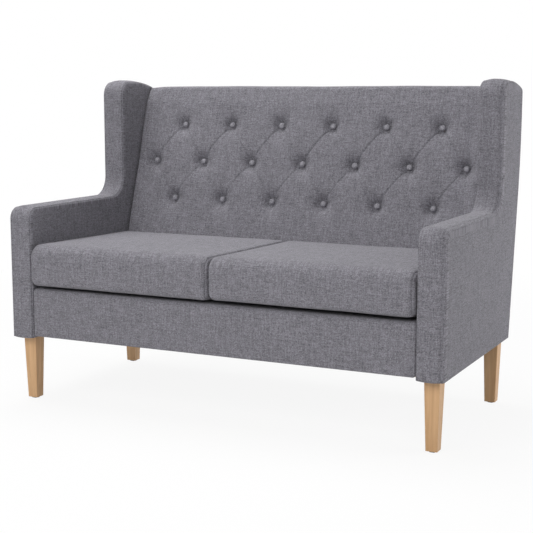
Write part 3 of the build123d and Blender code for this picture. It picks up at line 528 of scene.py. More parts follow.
def speckled(name, light, dark, scale, roughness, metallic=0.0, bump_distance=0.0002):
    """Plain stuff with a fine uneven grain, such as foam, board, plating or moulded plastic."""
    material, add, shader, links = material_base(name)
    place = add("ShaderNodeTexCoord").outputs["Object"]
    noise = add("ShaderNodeTexNoise", {"Vector": place, "Scale": scale, "Detail": 5.0, "Roughness": 0.65})
    spread = add("ShaderNodeMapRange", {"Value": noise.outputs["Fac"], "From Min": 0.3, "From Max": 0.7})
    tone = add("ShaderNodeMix", {0: spread.outputs[0], 6: light, 7: dark}, data_type="RGBA")
    links.new(tone.outputs[2], shader.inputs["Base Color"])
    rough = add("ShaderNodeMapRange", {"Value": noise.outputs["Fac"], "To Min": roughness - 0.08,
                                       "To Max": roughness + 0.08})
    links.new(rough.outputs[0], shader.inputs["Roughness"])
    bump = add("ShaderNodeBump", {"Height": noise.outputs["Fac"], "Strength": 0.4, "Distance": bump_distance})
    links.new(bump.outputs["Normal"], shader.inputs["Normal"])
    shader.inputs["Metallic"].default_value = metallic
    return material


WEAVE = weave_group()
GRAIN = grain_group()
GREY_FABRIC = woven("grey_fabric", WEAVE, (0.080, 0.077, 0.088, 1.0), (0.312, 0.303, 0.338, 1.0),
                    0.0015, 0.0048, 2.05, 0.1)
# Lighter copy of the grey cloth for the buttons: a painted highlight on their faces
BUTTON_HIGHLIGHT_FABRIC = woven("button_highlight_fabric", WEAVE, (0.145, 0.141, 0.158, 1.0), (0.42, 0.41, 0.452, 1.0),
                     0.0015, 0.0048, 2.2, 0.1)
BLACK_LINING = woven("black_lining", WEAVE, (0.012, 0.012, 0.013, 1.0), (0.034, 0.034, 0.037, 1.0),
                     0.0018, 0.004, 1.5, 0.1)
LEG_WOOD = timber("leg_wood", GRAIN, (0.66, 0.412, 0.215, 1.0), (0.50, 0.285, 0.132, 1.0), 1.0, 0.48, 0.12)
ZIP_CHAIN_FINISH = speckled("zip_chain", (0.07, 0.07, 0.075, 1.0), (0.045, 0.045, 0.05, 1.0), 700.0, 0.45)
ZIP_TAPE_CLOTH = woven("zip_tape", WEAVE, (0.05, 0.05, 0.055, 1.0), (0.11, 0.11, 0.12, 1.0),
                       0.0008, 0.004, 1.2, 0.1)
QUARTER = math.pi / 2
NODE_FINISHES = {
    "leg_wood": LEG_WOOD,
    "frame_timber": timber("frame_timber", GRAIN, (0.66, 0.47, 0.27, 1.0), (0.5, 0.32, 0.16, 1.0), 0.7, 0.7,
                           turn=(0.0, QUARTER, 0.0)),
    "plywood": timber("plywood", GRAIN, (0.62, 0.44, 0.26, 1.0), (0.48, 0.31, 0.17, 1.0), 0.5, 0.72),
    "foam": speckled("foam", (0.83, 0.76, 0.52, 1.0), (0.7, 0.62, 0.4, 1.0), 900.0, 0.95),
    "webbing": woven("webbing", WEAVE, (0.02, 0.019, 0.018, 1.0), (0.075, 0.07, 0.066, 1.0),
                     0.0016, 0.01, 1.5, 0.1, "object"),
    "hessian": woven("hessian", WEAVE, (0.24, 0.165, 0.08, 1.0), (0.55, 0.42, 0.24, 1.0),
                     0.0024, 0.012, 2.0, 0.1, "object"),
    "lining_board": speckled("lining_board", (0.36, 0.26, 0.16, 1.0), (0.26, 0.18, 0.1, 1.0), 260.0, 0.85),
    "zinc_steel": speckled("zinc_steel", (0.6, 0.6, 0.57, 1.0), (0.46, 0.46, 0.45, 1.0), 320.0, 0.38, 1.0),
    "zip": ZIP_CHAIN_FINISH,
    "black_plastic": speckled("black_plastic", (0.02, 0.02, 0.02, 1.0), (0.012, 0.012, 0.012, 1.0),
                              500.0, 0.5),
    "grey_fabric": GREY_FABRIC,
    "black_lining": BLACK_LINING,
}


def finish_nodes():
    """Give each node of the frame its finish."""
    for part in frame["record"]["subparts"]:
        mesh = frame["nodes"][part["node"]].data
        mesh.materials.clear()
        mesh.materials.append(NODE_FINISHES[part["material_slot"]])


def upholstered(piece, body, nodes):
    """Tie a fabric piece to its body and to the nodes it stands for."""
    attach(piece, body)
    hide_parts(*nodes)


# Winged sides

def side_corners():
    """Outline of a side's cover as (y, z, radius, share) corners."""
    lean = REAR_SKIN / math.cos(REAR_RAKE)
    return [
        (ARM_FRONT, UNDERSIDE, 0, 0.12),
        (REAR_FOOT - lean, UNDERSIDE, 0, 0.4),
        (REAR_TOP - REAR_SKIN, REAR_BEND, REAR_BEND_RADIUS, 0.4),
        (REAR_TOP - REAR_SKIN, WING_HEIGHT - WING_FALL, WING_REAR_RADIUS, 1),
        (REAR_TOP - WING_FALL_RUN, WING_HEIGHT, WING_TOP_RADIUS, 1),
        (FRONT + WING_SETBACK, WING_HEIGHT, WING_FRONT_RADIUS, 1),
        (FRONT + WING_SETBACK, ARM_HEIGHT, NOTCH_RADIUS, 1),
        (ARM_FRONT, ARM_HEIGHT, ARM_FRONT_RADIUS, 1),
    ]


def edge_profile(radius, seam_depth, seam_turn):
    """(inset, depth, groove) points from a panel round its edge to the band, the seam's groove at a turn."""
    points = [(2.2 * radius, 0.0, 0.0), (1.5 * radius, 0.0, 0.0)]
    reach = math.degrees(SEAM_HALF_WIDTH / radius)
    plain = [degrees for degrees in (0, 16, 30, 45, 60, 74, 90) if abs(degrees - seam_turn) > 1.4 * reach]
    for degrees in sorted(plain + [seam_turn - reach, seam_turn, min(seam_turn + reach, 89)]):
        turn = math.radians(degrees)
        groove = math.exp(-((1.3 * (degrees - seam_turn) / reach) ** 2))
        drawn = radius - seam_depth * groove
        points.append((radius - drawn * math.sin(turn), radius - drawn * math.cos(turn), groove))
    return points


def winged_side(side, sign):
    """One side: outer and inner panels and the band sewn between them."""
    corners = side_corners()
    loop = rounded_loop(corners, SIDE_STEP)
    along = arc_length(loop)[:-1]
    facing_up = np.clip(-inward(loop)[:, 1], 0, 1)
    pucker = PUCKER_HEIGHT * np.sin(2 * math.pi * along / PUCKER_LENGTH + 2 * np.sin(along * 9))
    outer_edge = edge_profile(OUTER_EDGE_RADIUS, SEAM_DEPTH, OUTER_SEAM_TURN)
    inner_edge = edge_profile(INNER_EDGE_RADIUS, SEAM_DEPTH, INNER_SEAM_TURN)
    sag = BAND_SAG * ripple(along, along * 0, 3.1)
    rows = [(OUTER_HALF - depth, inset, 0.0) for inset, depth, _ in outer_edge]
    span = OUTER_HALF - OUTER_EDGE_RADIUS - INNER_HALF - INNER_EDGE_RADIUS
    for share in np.linspace(0, 1, 10)[1:-1]:
        swell = (BAND_CROWN + BAND_TOP_CROWN * facing_up**2) * math.sin(math.pi * share)
        rows.append((OUTER_HALF - OUTER_EDGE_RADIUS - span * share, 0.0, swell + sag))
    rows += [(INNER_HALF + depth, inset, -pucker * groove) for inset, depth, groove in reversed(inner_edge)]

    def outer_crown(points, away):
        """Slight fullness of the outer panel."""
        lift = OUTER_CROWN * (1 - np.exp(-away / SIDE_CROWN_RUN))
        lift = lift + OUTER_UNEVENNESS * ripple(points[:, 0], points[:, 1], 0.4)
        return sign * lift

    def inner_crown(points, away):
        """Slight fullness of the inner panel, kept clear of the cushions."""
        lift = INNER_CROWN * (1 - np.exp(-away / SIDE_CROWN_RUN))
        lift = lift + INNER_UNEVENNESS * ripple(points[:, 0], points[:, 1], 1.9)
        return -sign * lift

    rows = [(sign * x, inset, swell) for x, inset, swell in rows]
    piece = boxed(f"{side}_side", corners, SIDE_STEP, rows, (outer_crown, inner_crown), 0.015, GREY_FABRIC)
    nodes = [f"{side}_arm_{word}" for word in ("outer_cover", "inner_cover", "band", "padding")]
    upholstered(piece, "frame", nodes)


# Tufted inside back

def back_point(v, out):
    """(y, z) on the inside back's slope, v up it from the seat and out from it."""
    y = FRONT + BACK_SETBACK + v * math.sin(RAKE) - out * math.cos(RAKE)
    z = BACK_SEAT_HEIGHT + v * math.cos(RAKE) + out * math.sin(RAKE)
    return y, z


def tuft_places():
    """(x, v) of each button, in three rows from the top."""
    top = (BACK_HEIGHT - TUFT_TOP_ROW_DROP - BACK_SEAT_HEIGHT) / math.cos(RAKE)
    places = []
    for row, shift in enumerate((0.5, 0.0, 0.5)):
        steps = [i + shift for i in range(-3, 4) if i + shift <= 3]
        places += [(step * TUFT_PITCH, top - row * TUFT_ROW_RISE) for step in steps]
    return places


def back_crown(x):
    """How far the inside back stands out across its width."""
    rise = np.clip((np.abs(x) - BACK_MARGIN_START) / BACK_MARGIN_RUN, 0, 1)
    return BACK_CROWN * (1 - 0.3 * (x / PAD_HALF) ** 2) + BACK_MARGIN_LIFT * rise**2 * (3 - 2 * rise)


def pleat_lines():
    """(start, end, crease, valley) of each fold between buttons, and from the outer ones."""
    places = tuft_places()
    lines = []
    for a in places:
        for b in places:
            over, up = b[0] - a[0], b[1] - a[1]
            if abs(up - TUFT_ROW_RISE) > 1e-6 or abs(abs(over) - TUFT_PITCH / 2) > 1e-6:
                continue
            vary = 0.8 + 0.2 * math.sin(37.0 * a[0] + 11.0 * a[1] + over)
            if over > 0:
                strength = vary * (1 - 0.1 * a[0] / PAD_HALF)
                lines.append((a, b, 0.0032 * strength, 0.0022 * strength))
            else:
                strength = vary * (1 + 0.4 * a[0] / PAD_HALF)
                lines.append((a, b, 0.0026 * strength, 0.0018 * strength))
    tops = max(v for _, v in places)
    lows = min(v for _, v in places)
    for x, v in places:
        if v == tops:
            lines.append(((x, v), (x, v + 0.085), 0.0004, 0.0012))
        elif v == lows:
            lines.append(((x, v), (x, v - 0.075), 0.0003, 0.0010))
        elif abs(x) > 2.5 * TUFT_PITCH:
            lines.append(((x, v), (math.copysign(PAD_HALF, x), v), 0.0014, 0.0014))
    return lines


def tufting(x, v):
    """How far the cover lies below its crown at (x, v): dips at the buttons and pleats between them."""
    dips = np.zeros_like(x)
    for number, (a, b) in enumerate(tuft_places()):
        away = np.hypot(x - a, v - b)
        reach = np.maximum(away - TUFT_FLAT_RADIUS, 0)
        turn = np.arctan2(v - b, x - a)
        near = TUFT_NEAR_SHARE / (1 + (reach * (1 + TUFT_UPPER_PULL * np.sin(turn)) / TUFT_NEAR_SPREAD) ** 2)
        far = TUFT_FAR_SHARE / (1 + (reach / TUFT_FAR_SPREAD) ** 2)
        fan = np.clip(np.cos(7 * turn + 1.9 * number), 0, 1) ** 2 * (0.3 + 0.7 * np.clip(np.sin(turn), 0, 1))
        fan = fan * np.exp(-((away - TUFT_FAN_PLACE) / TUFT_FAN_WIDTH) ** 2)
        dips += TUFT_DEPTH * (near + far) + TUFT_FAN * fan
    dips = np.minimum(dips, TUFT_DEPTH)
    for start, end, crease, valley in pleat_lines():
        run = np.array(end) - np.array(start)
        length = np.linalg.norm(run)
        share = ((x - start[0]) * run[0] + (v - start[1]) * run[1]) / length**2
        off = ((x - start[0]) * -run[1] + (v - start[1]) * run[0]) / length
        beyond = np.maximum(np.maximum(-share, share - 1), 0) * length
        free_end = length < FREE_FOLD_LONGEST and abs(run[0]) < 1e-9
        within = np.clip(share, 0, 1)
        fade = 1 - within if free_end else 0.5 + 0.5 * np.abs(2 * within - 1) ** 1.5
        fade = fade * np.exp(-(beyond / PLEAT_END) ** 2)
        dips += fade * crease * np.exp(-(off / PLEAT_CREASE_WIDTH) ** 2)
        dips += fade * valley * np.exp(-np.abs(off) / PLEAT_VALLEY_WIDTH)
        lip = off if run[0] >= 0 else -off
        dips -= fade * PLEAT_LIP_SHARE * crease * np.exp(-((lip - PLEAT_LIP_PLACE) / PLEAT_LIP_WIDTH) ** 2)
    return dips


def inside_back():
    """Tufted pad: sloping front, rolled top and sides, closed behind."""
    rim = PAD_HALF - BACK_EDGE_WIDTH * (1 - np.sin(np.linspace(0, math.pi / 2, 8)))
    middle = np.linspace(-rim[0], rim[0], round(2 * rim[0] / BACK_STEP))
    edge = PAD_HALF + BACK_SIDE_GAP
    across = np.concatenate([[-edge], -rim[:0:-1], middle, rim[1:], [edge]])
    foot = (PAD_LOW.z - BACK_SEAT_HEIGHT) / math.cos(RAKE)
    turn = math.pi / 2 - RAKE
    roll = BACK_TOP_RADIUS * math.tan(turn / 2)
    crest = (BACK_HEIGHT - BACK_SEAT_HEIGHT) / math.cos(RAKE) - roll
    hidden = np.arange(foot, -0.02, 0.009)
    slope = np.concatenate([hidden, np.linspace(-0.02, crest, round((crest + 0.02) / BACK_STEP))])
    profile = [(*back_point(v, 0), -math.cos(RAKE), math.sin(RAKE), v) for v in slope]
    last_y, last_z = back_point(crest, 0)
    centre = (last_y + BACK_TOP_RADIUS * math.cos(RAKE), last_z - BACK_TOP_RADIUS * math.sin(RAKE))
    for share in np.linspace(0, 1, 9)[1:]:
        lean = RAKE + turn * share
        out = (-math.cos(lean), math.sin(lean))
        place = (centre[0] + BACK_TOP_RADIUS * out[0], centre[1] + BACK_TOP_RADIUS * out[1])
        profile.append((*place, *out, crest + BACK_TOP_RADIUS * turn * share))
    reach = profile[-1][4]
    rear = PAD_HIGH.y
    for y in np.linspace(centre[0], rear, 6)[1:]:
        profile.append((y, BACK_HEIGHT, 0.0, 1.0, reach + y - centre[0]))
    profile = np.array(profile)

    x, v = np.meshgrid(across, profile[:, 4])
    top_fade = np.clip((crest + BACK_TOP_RADIUS * turn - v) / 0.06, 0, 1)
    lift = back_crown(x) * top_fade - tufting(x, v) * (v < reach) * np.clip(top_fade * 3, 0, 1)
    lift += 0.0007 * ripple(x, v, 2.2) * top_fade
    over = np.clip((np.abs(x) - (PAD_HALF - BACK_EDGE_WIDTH)) / BACK_EDGE_WIDTH, 0, 1)
    roll = BACK_EDGE_DEPTH * np.clip((crest - v) / 0.3, 0.3, 1)
    lift -= roll * (1 - np.sqrt(1 - np.minimum(over, 0.999) ** 2))
    y = profile[:, 0][:, None] + profile[:, 2][:, None] * lift
    z = profile[:, 1][:, None] + profile[:, 3][:, None] * lift
    near_top = np.clip((v - crest) / BACK_END_RUN + 1, 0, 1)
    end_dip = BACK_END_DIP * np.exp(-(((PAD_HALF - np.abs(x)) / BACK_END_RUN) ** 2))
    z = z - near_top * (end_dip + 0.001 * ripple(1.6 * x, 0 * x, 6.1))
    points = np.stack([x, y, z], -1)
    cloth = np.stack([x, v], -1)

    hem = BACK_HEIGHT - BACK_HEM
    frame_low, frame_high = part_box("back_hessian")
    behind = [(rear, hem), (rear - 0.001, hem), (rear - 0.001, frame_high.z + 0.001),
              (frame_high.y, frame_high.z + 0.001), (frame_low.y, PAD_LOW.z)]
    for place in behind:
        row = np.stack([across, np.full_like(across, place[0]), np.full_like(across, place[1])], -1)
        points = np.concatenate([points, row[None]], 0)
        cloth = np.concatenate([cloth, np.stack([across, across * 0 + cloth[-1, 0, 1] + 0.01], -1)[None]], 0)
    piece = draped("tufted_back", points, cloth, GREY_FABRIC, wrapped=True)
    upholstered(piece, "frame", ("inside_back_cover", "back_foam"))


def buttons():
    """Domed buttons covered in a lighter copy of the grey cloth, a painted highlight on their faces, seated
    in the tufts.
    """
    sides = 28
    profile = [(0.0, 1.0), (0.3, 0.99), (0.55, 0.95), (0.76, 0.86), (0.9, 0.69), (0.98, 0.44),
               (1.0, 0.2), (0.97, 0.0)]
    turns = np.arange(sides) * 2 * math.pi / sides
    verts = []
    faces = []
    uvs = []
    for number, (x, v) in enumerate(tuft_places()):
        seat = back_crown(x) - TUFT_DEPTH
        start = len(verts)
        turn = 1.3 * number
        local = [(0.0, 0.0)]
        verts.append((x, *back_point(v, seat + BUTTON_HEIGHT)))
        for radius, height in profile[1:]:
            for a in turns:
                across, up = BUTTON_RADIUS * radius * math.cos(a), BUTTON_RADIUS * radius * math.sin(a)
                verts.append((x + across, *back_point(v + up, seat + BUTTON_HEIGHT * height)))
                local.append((across * math.cos(turn) - up * math.sin(turn),
                              across * math.sin(turn) + up * math.cos(turn)))
        shift = (0.05 * number, 2.0)
        cloth = [(a + shift[0], b + shift[1]) for a, b in local]

        def face(*corners):
            """Add one face of this button."""
            faces.append(tuple(start + c for c in corners))
            uvs.append([cloth[c] for c in corners])

        for i in range(sides):
            face(0, 1 + i, 1 + (i + 1) % sides)
            for ring in range(len(profile) - 2):
                low, high = 1 + ring * sides, 1 + (ring + 1) * sides
                face(low + i, high + i, high + (i + 1) % sides, low + (i + 1) % sides)
        last = 1 + (len(profile) - 2) * sides
        face(*[last + i for i in reversed(range(sides))])
    # The buttons take the lighter copy of the cloth, a painted highlight
    piece = finish_mesh("tuft_buttons_covered", verts, faces, uvs, BUTTON_HIGHLIGHT_FABRIC)
    upholstered(piece, "frame", ("tuft_buttons",))


# Seat cushions

def puffed(piece, held, most):
    """Swell a cover with Blender's cloth, its held points fixed, to a set most that any point moves."""
    scene = bpy.context.scene
    group = piece.vertex_groups.new(name="held")
    group.add(held, 1.0, "REPLACE")
    cloth = piece.modifiers.new("cloth", "CLOTH")
    cloth.settings.vertex_group_mass = group.name
    cloth.settings.use_pressure = True
    cloth.settings.uniform_pressure_force = PUFF_PRESSURE
    cloth.settings.effector_weights.gravity = 0.0
    cloth.settings.tension_stiffness = PUFF_STIFFNESS
    cloth.settings.compression_stiffness = PUFF_STIFFNESS
    cloth.settings.bending_stiffness = PUFF_BENDING
    cloth.settings.shrink_min = -PUFF_GROWTH
    cloth.point_cache.frame_start = 1
    cloth.point_cache.frame_end = PUFF_FRAMES
    for frame_number in range(1, PUFF_FRAMES + 1):
        scene.frame_set(frame_number)
    count = len(piece.data.vertices)
    before = np.empty(count * 3, dtype=np.float32)
    after = np.empty(count * 3, dtype=np.float32)
    piece.data.vertices.foreach_get("co", before)
    swollen = piece.evaluated_get(bpy.context.evaluated_depsgraph_get())
    swollen.data.vertices.foreach_get("co", after)
    moves = (after - before).reshape(-1, 3)
    lengths = np.linalg.norm(moves, axis=1)
    piece.modifiers.remove(cloth)
    piece.vertex_groups.remove(group)
    scene.frame_set(1)
    largest = np.percentile(lengths, 99.5)
    moves *= (np.minimum(lengths, largest) / np.maximum(lengths, 1e-9) * most / max(largest, 1e-6))[:, None]
    piece.data.vertices.foreach_set("co", (before.reshape(-1, 3) + moves).ravel())
    piece.data.update()


def cushion(side, sign):
    """One seat cushion: a cover wrapped from front to back, with a gusset at each end."""
    low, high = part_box(f"{side}_cushion_cover")
    if side == "left":
        low.x += SIDE_INNER_FULLNESS
        high.x += CUSHION_GAP_FULLNESS
    else:
        low.x -= CUSHION_GAP_FULLNESS
        high.x -= SIDE_INNER_FULLNESS
    middle = (low.x + high.x) / 2
    half = (high.x - low.x) / 2
    out = BACK_CROWN + CUSHION_BACK_GAP
    slope = math.tan(RAKE)

    def rear(z):
        """Y of the cushion's rear at a height."""
        return FRONT + BACK_SETBACK + (z - BACK_SEAT_HEIGHT) * slope - out / math.cos(RAKE)

    front = low.y + 0.004
    top_front = SEAT_FRONT_HEIGHT + 0.003
    top_rear = BACK_SEAT_HEIGHT + 0.001
    corners = [
        (front, low.z + CUSHION_FRONT_LIFT[side], CUSHION_BOTTOM_FRONT_RADIUS, 1),
        (front + 0.09, low.z, 0.06, 1),
        (rear(low.z), low.z, CUSHION_BOTTOM_REAR_RADIUS, 1),
        (rear(top_rear), top_rear, CUSHION_TOP_REAR_RADIUS, 1),
        (front, top_front, CUSHION_TOP_FRONT_RADIUS, 1),
    ]
    loop = rounded_loop(corners, CUSHION_STEP)
    along = arc_length(loop)[:-1]
    outward = -inward(loop)
    y, z = loop[:, 0], loop[:, 1]
    facing_front = np.clip(-outward[:, 0], 0, 1)
    facing_rear = outward[:, 0] > 0.6
    resting = z < low.z + 0.008
    seam = np.argmin(np.hypot(y - front, z - low.z - CUSHION_SEAM_RISE))
    groove = np.zeros(len(loop))
    groove[seam] = CUSHION_GROOVE

    def corner_setback(depth, own):
        """How much further the front corner draws in than its own seam, at a depth from the end."""
        reach = max(CUSHION_PLAN_RADIUS - depth, 0) / CUSHION_PLAN_RADIUS
        return max(CUSHION_PLAN_RADIUS * (1 - math.sqrt(1 - min(reach, 0.97) ** 2)) - own, 0)

    profile = edge_profile(CUSHION_SEAM_RADIUS, CUSHION_SEAM_DEPTH, CUSHION_SEAM_TURN)
    ends = [(depth, inset, -corner_setback(max(depth, 0.001), min(inset, CUSHION_SEAM_RADIUS)) * facing_front)
            for inset, depth, _ in profile]
    rows = [(-half + depth, inset, swell) for depth, inset, swell in ends]
    span = 2 * (half - CUSHION_SEAM_RADIUS)
    count = round(span / CUSHION_STEP)
    for share in np.linspace(0, 1, count)[1:-1]:
        depth = CUSHION_SEAM_RADIUS + span * min(share, 1 - share)
        uneven = CUSHION_UNEVENNESS * ripple(along * 1.1, share * span + 0 * along, 0.7 + sign)
        uneven = uneven * ~(resting | facing_rear)
        swell = uneven - groove - corner_setback(depth, 0) * facing_front
        rows.append((-half + CUSHION_SEAM_RADIUS + span * share, 0.0, swell))
    rows += [(half - depth, inset, swell) for depth, inset, swell in reversed(ends)]
    rows = [(middle + x, inset, swell) for x, inset, swell in rows]

    def drawn(direction):
        """Crown of a gusset that draws in a little between its seams."""
        def crown(points, away):
            """How far the gusset's points lie from its seam."""
            return -direction * 0.002 * (1 - np.exp(-away / 0.03))
        return crown

    piece = boxed(f"{side}_seat_cushion", corners, CUSHION_STEP, rows, (drawn(-1), drawn(1)), 0.012,
                  GREY_FABRIC)
    still = np.zeros((len(rows), len(loop)), dtype=bool)
    still[:, resting | facing_rear] = True
    still[: len(profile) - 3] = True
    still[3 - len(profile):] = True
    panels = range(still.size, len(piece.data.vertices))
    puffed(piece, np.flatnonzero(still).tolist() + list(panels), CUSHION_PUFF)
    smooth = piece.modifiers.new("smooth", "SUBSURF")
    smooth.levels = 1
    smooth.render_levels = 1
    upholstered(piece, f"{side}_cushion", (f"{side}_cushion_cover", f"{side}_cushion_foam"))


def zip_fastener(side, tape_material, chain_material):
    """Zip in the cushion's rear: its tape and its chain of teeth."""
    low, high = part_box(f"{side}_cushion_zip")
    middle_z = (low.z + high.z) / 2
    plane_y = FRONT + BACK_SETBACK + (middle_z - BACK_SEAT_HEIGHT) * math.tan(RAKE)
    plane_y -= (BACK_CROWN + CUSHION_BACK_GAP) / math.cos(RAKE)

    def placed(x, up, out):
        """Points of the zip's own plane, up it and out from it, in the frame."""
        y = plane_y + up * math.sin(RAKE) + out * math.cos(RAKE)
        z = middle_z + up * math.cos(RAKE) - out * math.sin(RAKE)
        return np.stack([x, y, z], -1)

    def strip(name, start, end, width, profile, pitch, material):
        """Long strip of a cross-section, with teeth where it has a pitch."""
        count = round((end - start) / (pitch / 4 if pitch else 0.02))
        x, k = np.meshgrid(np.linspace(start, end, count), np.arange(len(profile)), indexing="ij")
        up = np.array([p[0] for p in profile])[k] * width / 2
        out = np.array([p[1] for p in profile])[k]
        if pitch:
            out = out * (0.68 + 0.32 * np.cos(2 * math.pi * x / pitch + (up > 0) * math.pi))
        points = placed(x, up, out).transpose(1, 0, 2)
        cloth = np.stack([x, up], -1).transpose(1, 0, 2)
        piece = draped(name, points, cloth, material, wrapped=True)
        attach(piece, f"{side}_cushion")
        return piece

    tape = [(-1, -0.0004), (-1, 0.0003), (-0.3, 0.0006), (0.3, 0.0006), (1, 0.0003), (1, -0.0004)]
    piece = strip(f"{side}_zip_tape", low.x, high.x, ZIP_TAPE, tape, None, tape_material)
    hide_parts(f"{side}_cushion_zip")
    chain = [(-1, 0.0002), (-0.85, 0.0012), (-0.4, 0.0017), (-0.08, 0.0016), (0.08, 0.0016), (0.4, 0.0017),
             (0.85, 0.0012), (1, 0.0002)]
    strip(f"{side}_zip_chain", low.x + ZIP_END, high.x - ZIP_END, ZIP_CHAIN, chain, ZIP_PITCH, chain_material)


# Rail, rear and under the seat

def front_rail():
    """Padded cover of the front rail, tucked under and lapped over the deck."""
    half = RAIL_HIGH.x - SIDE_INNER_FULLNESS
    low, high, face = RAIL_LOW.z + RAIL_LIFT, RAIL_HIGH.z, RAIL_LOW.y - RAIL_FRONT_FULLNESS
    rear = RAIL_HIGH.y - 0.002
    corners = [(face, low, 0.004, 1), (rear, low, 0, 1), (rear, high, 0, 1), (face, high, 0.012, 1)]
    loop = rounded_loop(corners, RAIL_STEP)
    along = arc_length(loop)[:-1]
    z = loop[:, 1]
    rise = np.clip((z - low) / (high - low), 0, 1)
    facing = np.exp(-((loop[:, 0] - face) / 0.006) ** 2) * np.sin(rise * math.pi)
    rows = [(-half + depth, inset, 0 * along) for depth, inset in RAIL_ENDS]
    for share in np.linspace(0, 1, 90)[1:-1]:
        bell = min(1.0, 14 * share, 14 * (1 - share))
        uneven = RAIL_UNEVENNESS * ripple(along, 2 * half * share + 0 * along, 5.0)
        lift = facing * (RAIL_CROWN * bell + uneven)
        rows.append((-half + RAIL_END_RUN + 2 * (half - RAIL_END_RUN) * share, 0.0, lift))
    rows += [(-x, inset, swell) for x, inset, swell in reversed(rows[:len(RAIL_ENDS)])]

    def flat(points, away):
        """End of the rail, which has no crown."""
        return 0 * away

    piece = boxed("front_rail_upholstery", corners, RAIL_STEP, rows, (flat, flat), 0.02, GREY_FABRIC)
    upholstered(piece, "frame", ("front_rail_cover", "front_rail_padding"))


def rear_line(z):
    """Y of the sofa's rear face at a height."""
    reach = REAR_BEND_RADIUS * math.tan(REAR_RAKE / 2)
    if z < REAR_BEND - reach:
        return REAR_FOOT + (z - UNDERSIDE) * math.tan(REAR_RAKE)
    rise = max(REAR_BEND + reach - z, 0)
    return REAR_TOP - REAR_BEND_RADIUS + math.sqrt(REAR_BEND_RADIUS**2 - rise**2)


def outside_back():
    """Cloth over the rear, folded in along its edges."""
    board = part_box("back_lining_board")[1]
    half = board.x + 0.001
    low, high = UNDERSIDE, board.z + 0.0015
    columns = np.linspace(-half, half, 150)
    heights = np.linspace(low, high, 90)
    x, z = np.meshgrid(columns, heights)
    step_down = BACK_CLOTH_STEP_DOWN * np.clip((np.abs(x) - PAD_HIGH.x - 0.001) / 0.006, 0, 1)
    z = z - step_down * ((z - low) / (high - low)) ** 12
    y = np.array([[rear_line(value) for value in row] for row in z])
    edge = np.minimum.reduce([half - np.abs(x), z - low, high - step_down - z])
    y = y - 0.0016 * np.exp(-np.maximum(edge, 0) / 0.003) + 0.0008 * (1 - np.exp(-np.maximum(edge, 0) / 0.04))
    y = y + 0.0006 * ripple(x * 0.8, z, 4.4) * (1 - np.exp(-np.maximum(edge, 0) / 0.05))
    sheet = np.stack([x, y, z], -1)
    foot_fold = sheet[:1] + np.array((0.0, -BACK_CLOTH_FOLDS["foot"], 0.0))
    top_fold = sheet[-1:] + np.array((0.0, -BACK_CLOTH_FOLDS["top"], 0.0))
    points = np.concatenate([foot_fold, sheet, top_fold], 0)
    ends = points[:, [0, -1]] + np.array((0.0, -BACK_CLOTH_FOLDS["ends"], 0.0))
    points = np.concatenate([ends[:, :1], points, ends[:, 1:]], 1)
    cloth = points[..., [0, 2]]
    piece = draped("outside_back_cloth", points, cloth, GREY_FABRIC)
    upholstered(piece, "frame", ("outside_back_cover",))


def stretched_cloth(name, node, slack, material):
    """Cloth tacked over a frame, slack between its edges."""
    low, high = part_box(node)
    columns = np.linspace(low.x, high.x, 80)
    depths = np.linspace(low.y, high.y, 40)
    x, y = np.meshgrid(columns, depths)
    belly = np.sin(math.pi * (x - low.x) / (high.x - low.x))
    belly = belly * np.sin(math.pi * (y - low.y) / (high.y - low.y))
    z = (high.z + low.z) / 2 - slack * np.abs(belly) ** 0.6 + 0.1 * slack * ripple(x, y, 1.1) * belly
    piece = draped(name, np.stack([x, y, z], -1), np.stack([x, y], -1), material)
    thick = piece.modifiers.new("thickness", "SOLIDIFY")
    thick.thickness = 0.0008
    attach(piece, "frame")
    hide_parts(node)


# Studio

def seen_directly(add):
    """Whether a ray comes straight from the camera, or by way of a gloss or a clear piece."""
    path = add("ShaderNodeLightPath").outputs
    seen = math_node(add, "MAXIMUM", path["Is Camera Ray"], path["Is Glossy Ray"])
    return math_node(add, "MAXIMUM", seen, path["Is Transmission Ray"])


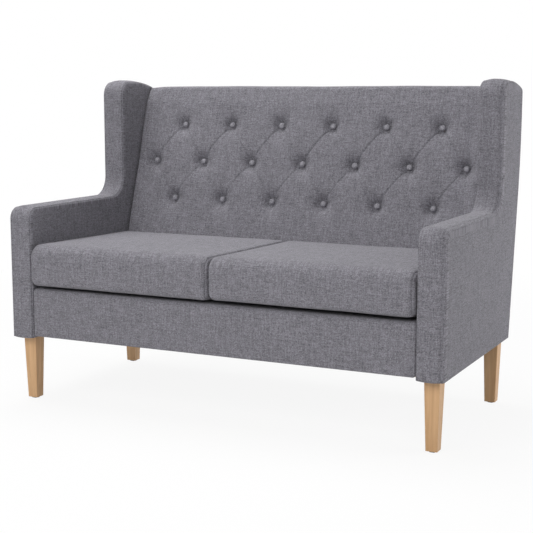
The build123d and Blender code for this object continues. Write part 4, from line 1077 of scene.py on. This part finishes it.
def studio():
    """Pale floor, white surroundings, soft lamps and the photograph's camera."""
    scene = bpy.context.scene
    scene.view_settings.view_transform = "Standard"
    world = bpy.data.worlds.new("studio")
    scene.world = world
    world.use_nodes = True
    nodes, links = world.node_tree.nodes, world.node_tree.links
    seen = seen_directly(node_maker(world.node_tree))
    ambient = nodes["Background"]
    ambient.inputs["Color"].default_value = (1.0, 1.0, 1.0, 1.0)
    ambient.inputs["Strength"].default_value = AMBIENT
    white = nodes.new("ShaderNodeBackground")
    white.inputs["Color"].default_value = (1.0, 1.0, 1.0, 1.0)
    mixed = nodes.new("ShaderNodeMixShader")
    links.new(seen, mixed.inputs[0])
    links.new(ambient.outputs[0], mixed.inputs[1])
    links.new(white.outputs[0], mixed.inputs[2])
    links.new(mixed.outputs[0], nodes["World Output"].inputs["Surface"])

    mesh = bpy.data.meshes.new("floor")
    sides = ((-1, -1), (1, -1), (1, 1), (-1, 1))
    mesh.from_pydata([(FLOOR_REACH * a, FLOOR_REACH * b, 0) for a, b in sides], [], [(0, 1, 2, 3)])
    floor = bpy.data.objects.new("floor", mesh)
    scene.collection.objects.link(floor)
    pale, add, shader, links = material_base("pale_floor")
    shader.inputs["Base Color"].default_value = (0.86, 0.86, 0.86, 1.0)
    shader.inputs["Roughness"].default_value = 0.9
    shader.inputs["Specular IOR Level"].default_value = 0.0
    glow = add("ShaderNodeEmission", {"Color": (1.0, 1.0, 1.0, 1.0), "Strength": 1.0})
    seen = seen_directly(add)
    place = add("ShaderNodeTexCoord").outputs["Object"]
    far = add("ShaderNodeVectorMath", {0: place}, operation="LENGTH").outputs["Value"]
    fade = add("ShaderNodeMapRange", {"Value": far, "From Min": 0.7, "From Max": 2.6,
                                      "To Min": 0.9, "To Max": 1.0})
    share = math_node(add, "MULTIPLY", seen, fade.outputs[0])
    blend = add("ShaderNodeMixShader", {0: share, 1: shader.outputs[0], 2: glow.outputs[0]})
    links.new(blend.outputs[0], pale.node_tree.nodes["Material Output"].inputs["Surface"])
    mesh.materials.append(pale)

    lamps = [
        ("key_softbox", (0.1, -2.9, 2.1), 6.0, 1.6, 86.0),
        ("top_softbox", (-0.8, 0.35, 2.9), 2.2, 2.2, 78.0),
        ("front_fill", (0.2, -4.0, 0.7), 2.0, 2.0, 10.0),
        ("side_strip", (2.6, 0.9, 0.8), 1.4, 1.4, 28.0),
        ("rear_fill", (-0.6, 3.6, 1.7), 2.2, 2.2, 18.0),
    ]
    for name, place, width, height, power in lamps:
        lamp = bpy.data.lights.new(name, "AREA")
        lamp.shape = "RECTANGLE"
        lamp.size = width
        lamp.size_y = height
        lamp.energy = power
        lamp_object = bpy.data.objects.new(name, lamp)
        lamp_object.location = place
        aim = Vector(LAMP_AIM) - Vector(place)
        lamp_object.rotation_euler = aim.to_track_quat("-Z", "Y").to_euler()
        scene.collection.objects.link(lamp_object)

    camera = bpy.data.cameras.new("camera")
    camera.lens = CAMERA_LENS
    camera.sensor_width = SENSOR_WIDTH
    camera.sensor_fit = "HORIZONTAL"
    holder = bpy.data.objects.new("camera", camera)
    holder.location = CAMERA_PLACE
    holder.rotation_euler = Vector(CAMERA_AIM).to_track_quat("-Z", "Y").to_euler()
    scene.collection.objects.link(holder)
    scene.camera = holder


finish_nodes()
for side, sign in (("left", -1), ("right", 1)):
    winged_side(side, sign)
    cushion(side, sign)
    zip_fastener(side, ZIP_TAPE_CLOTH, ZIP_CHAIN_FINISH)
inside_back()
buttons()
front_rail()
outside_back()
stretched_cloth("seat_deck_cloth", "deck_cloth", 0.0, BLACK_LINING)
stretched_cloth("under_seat_cloth", "dust_cover", 0.002, BLACK_LINING)
studio()
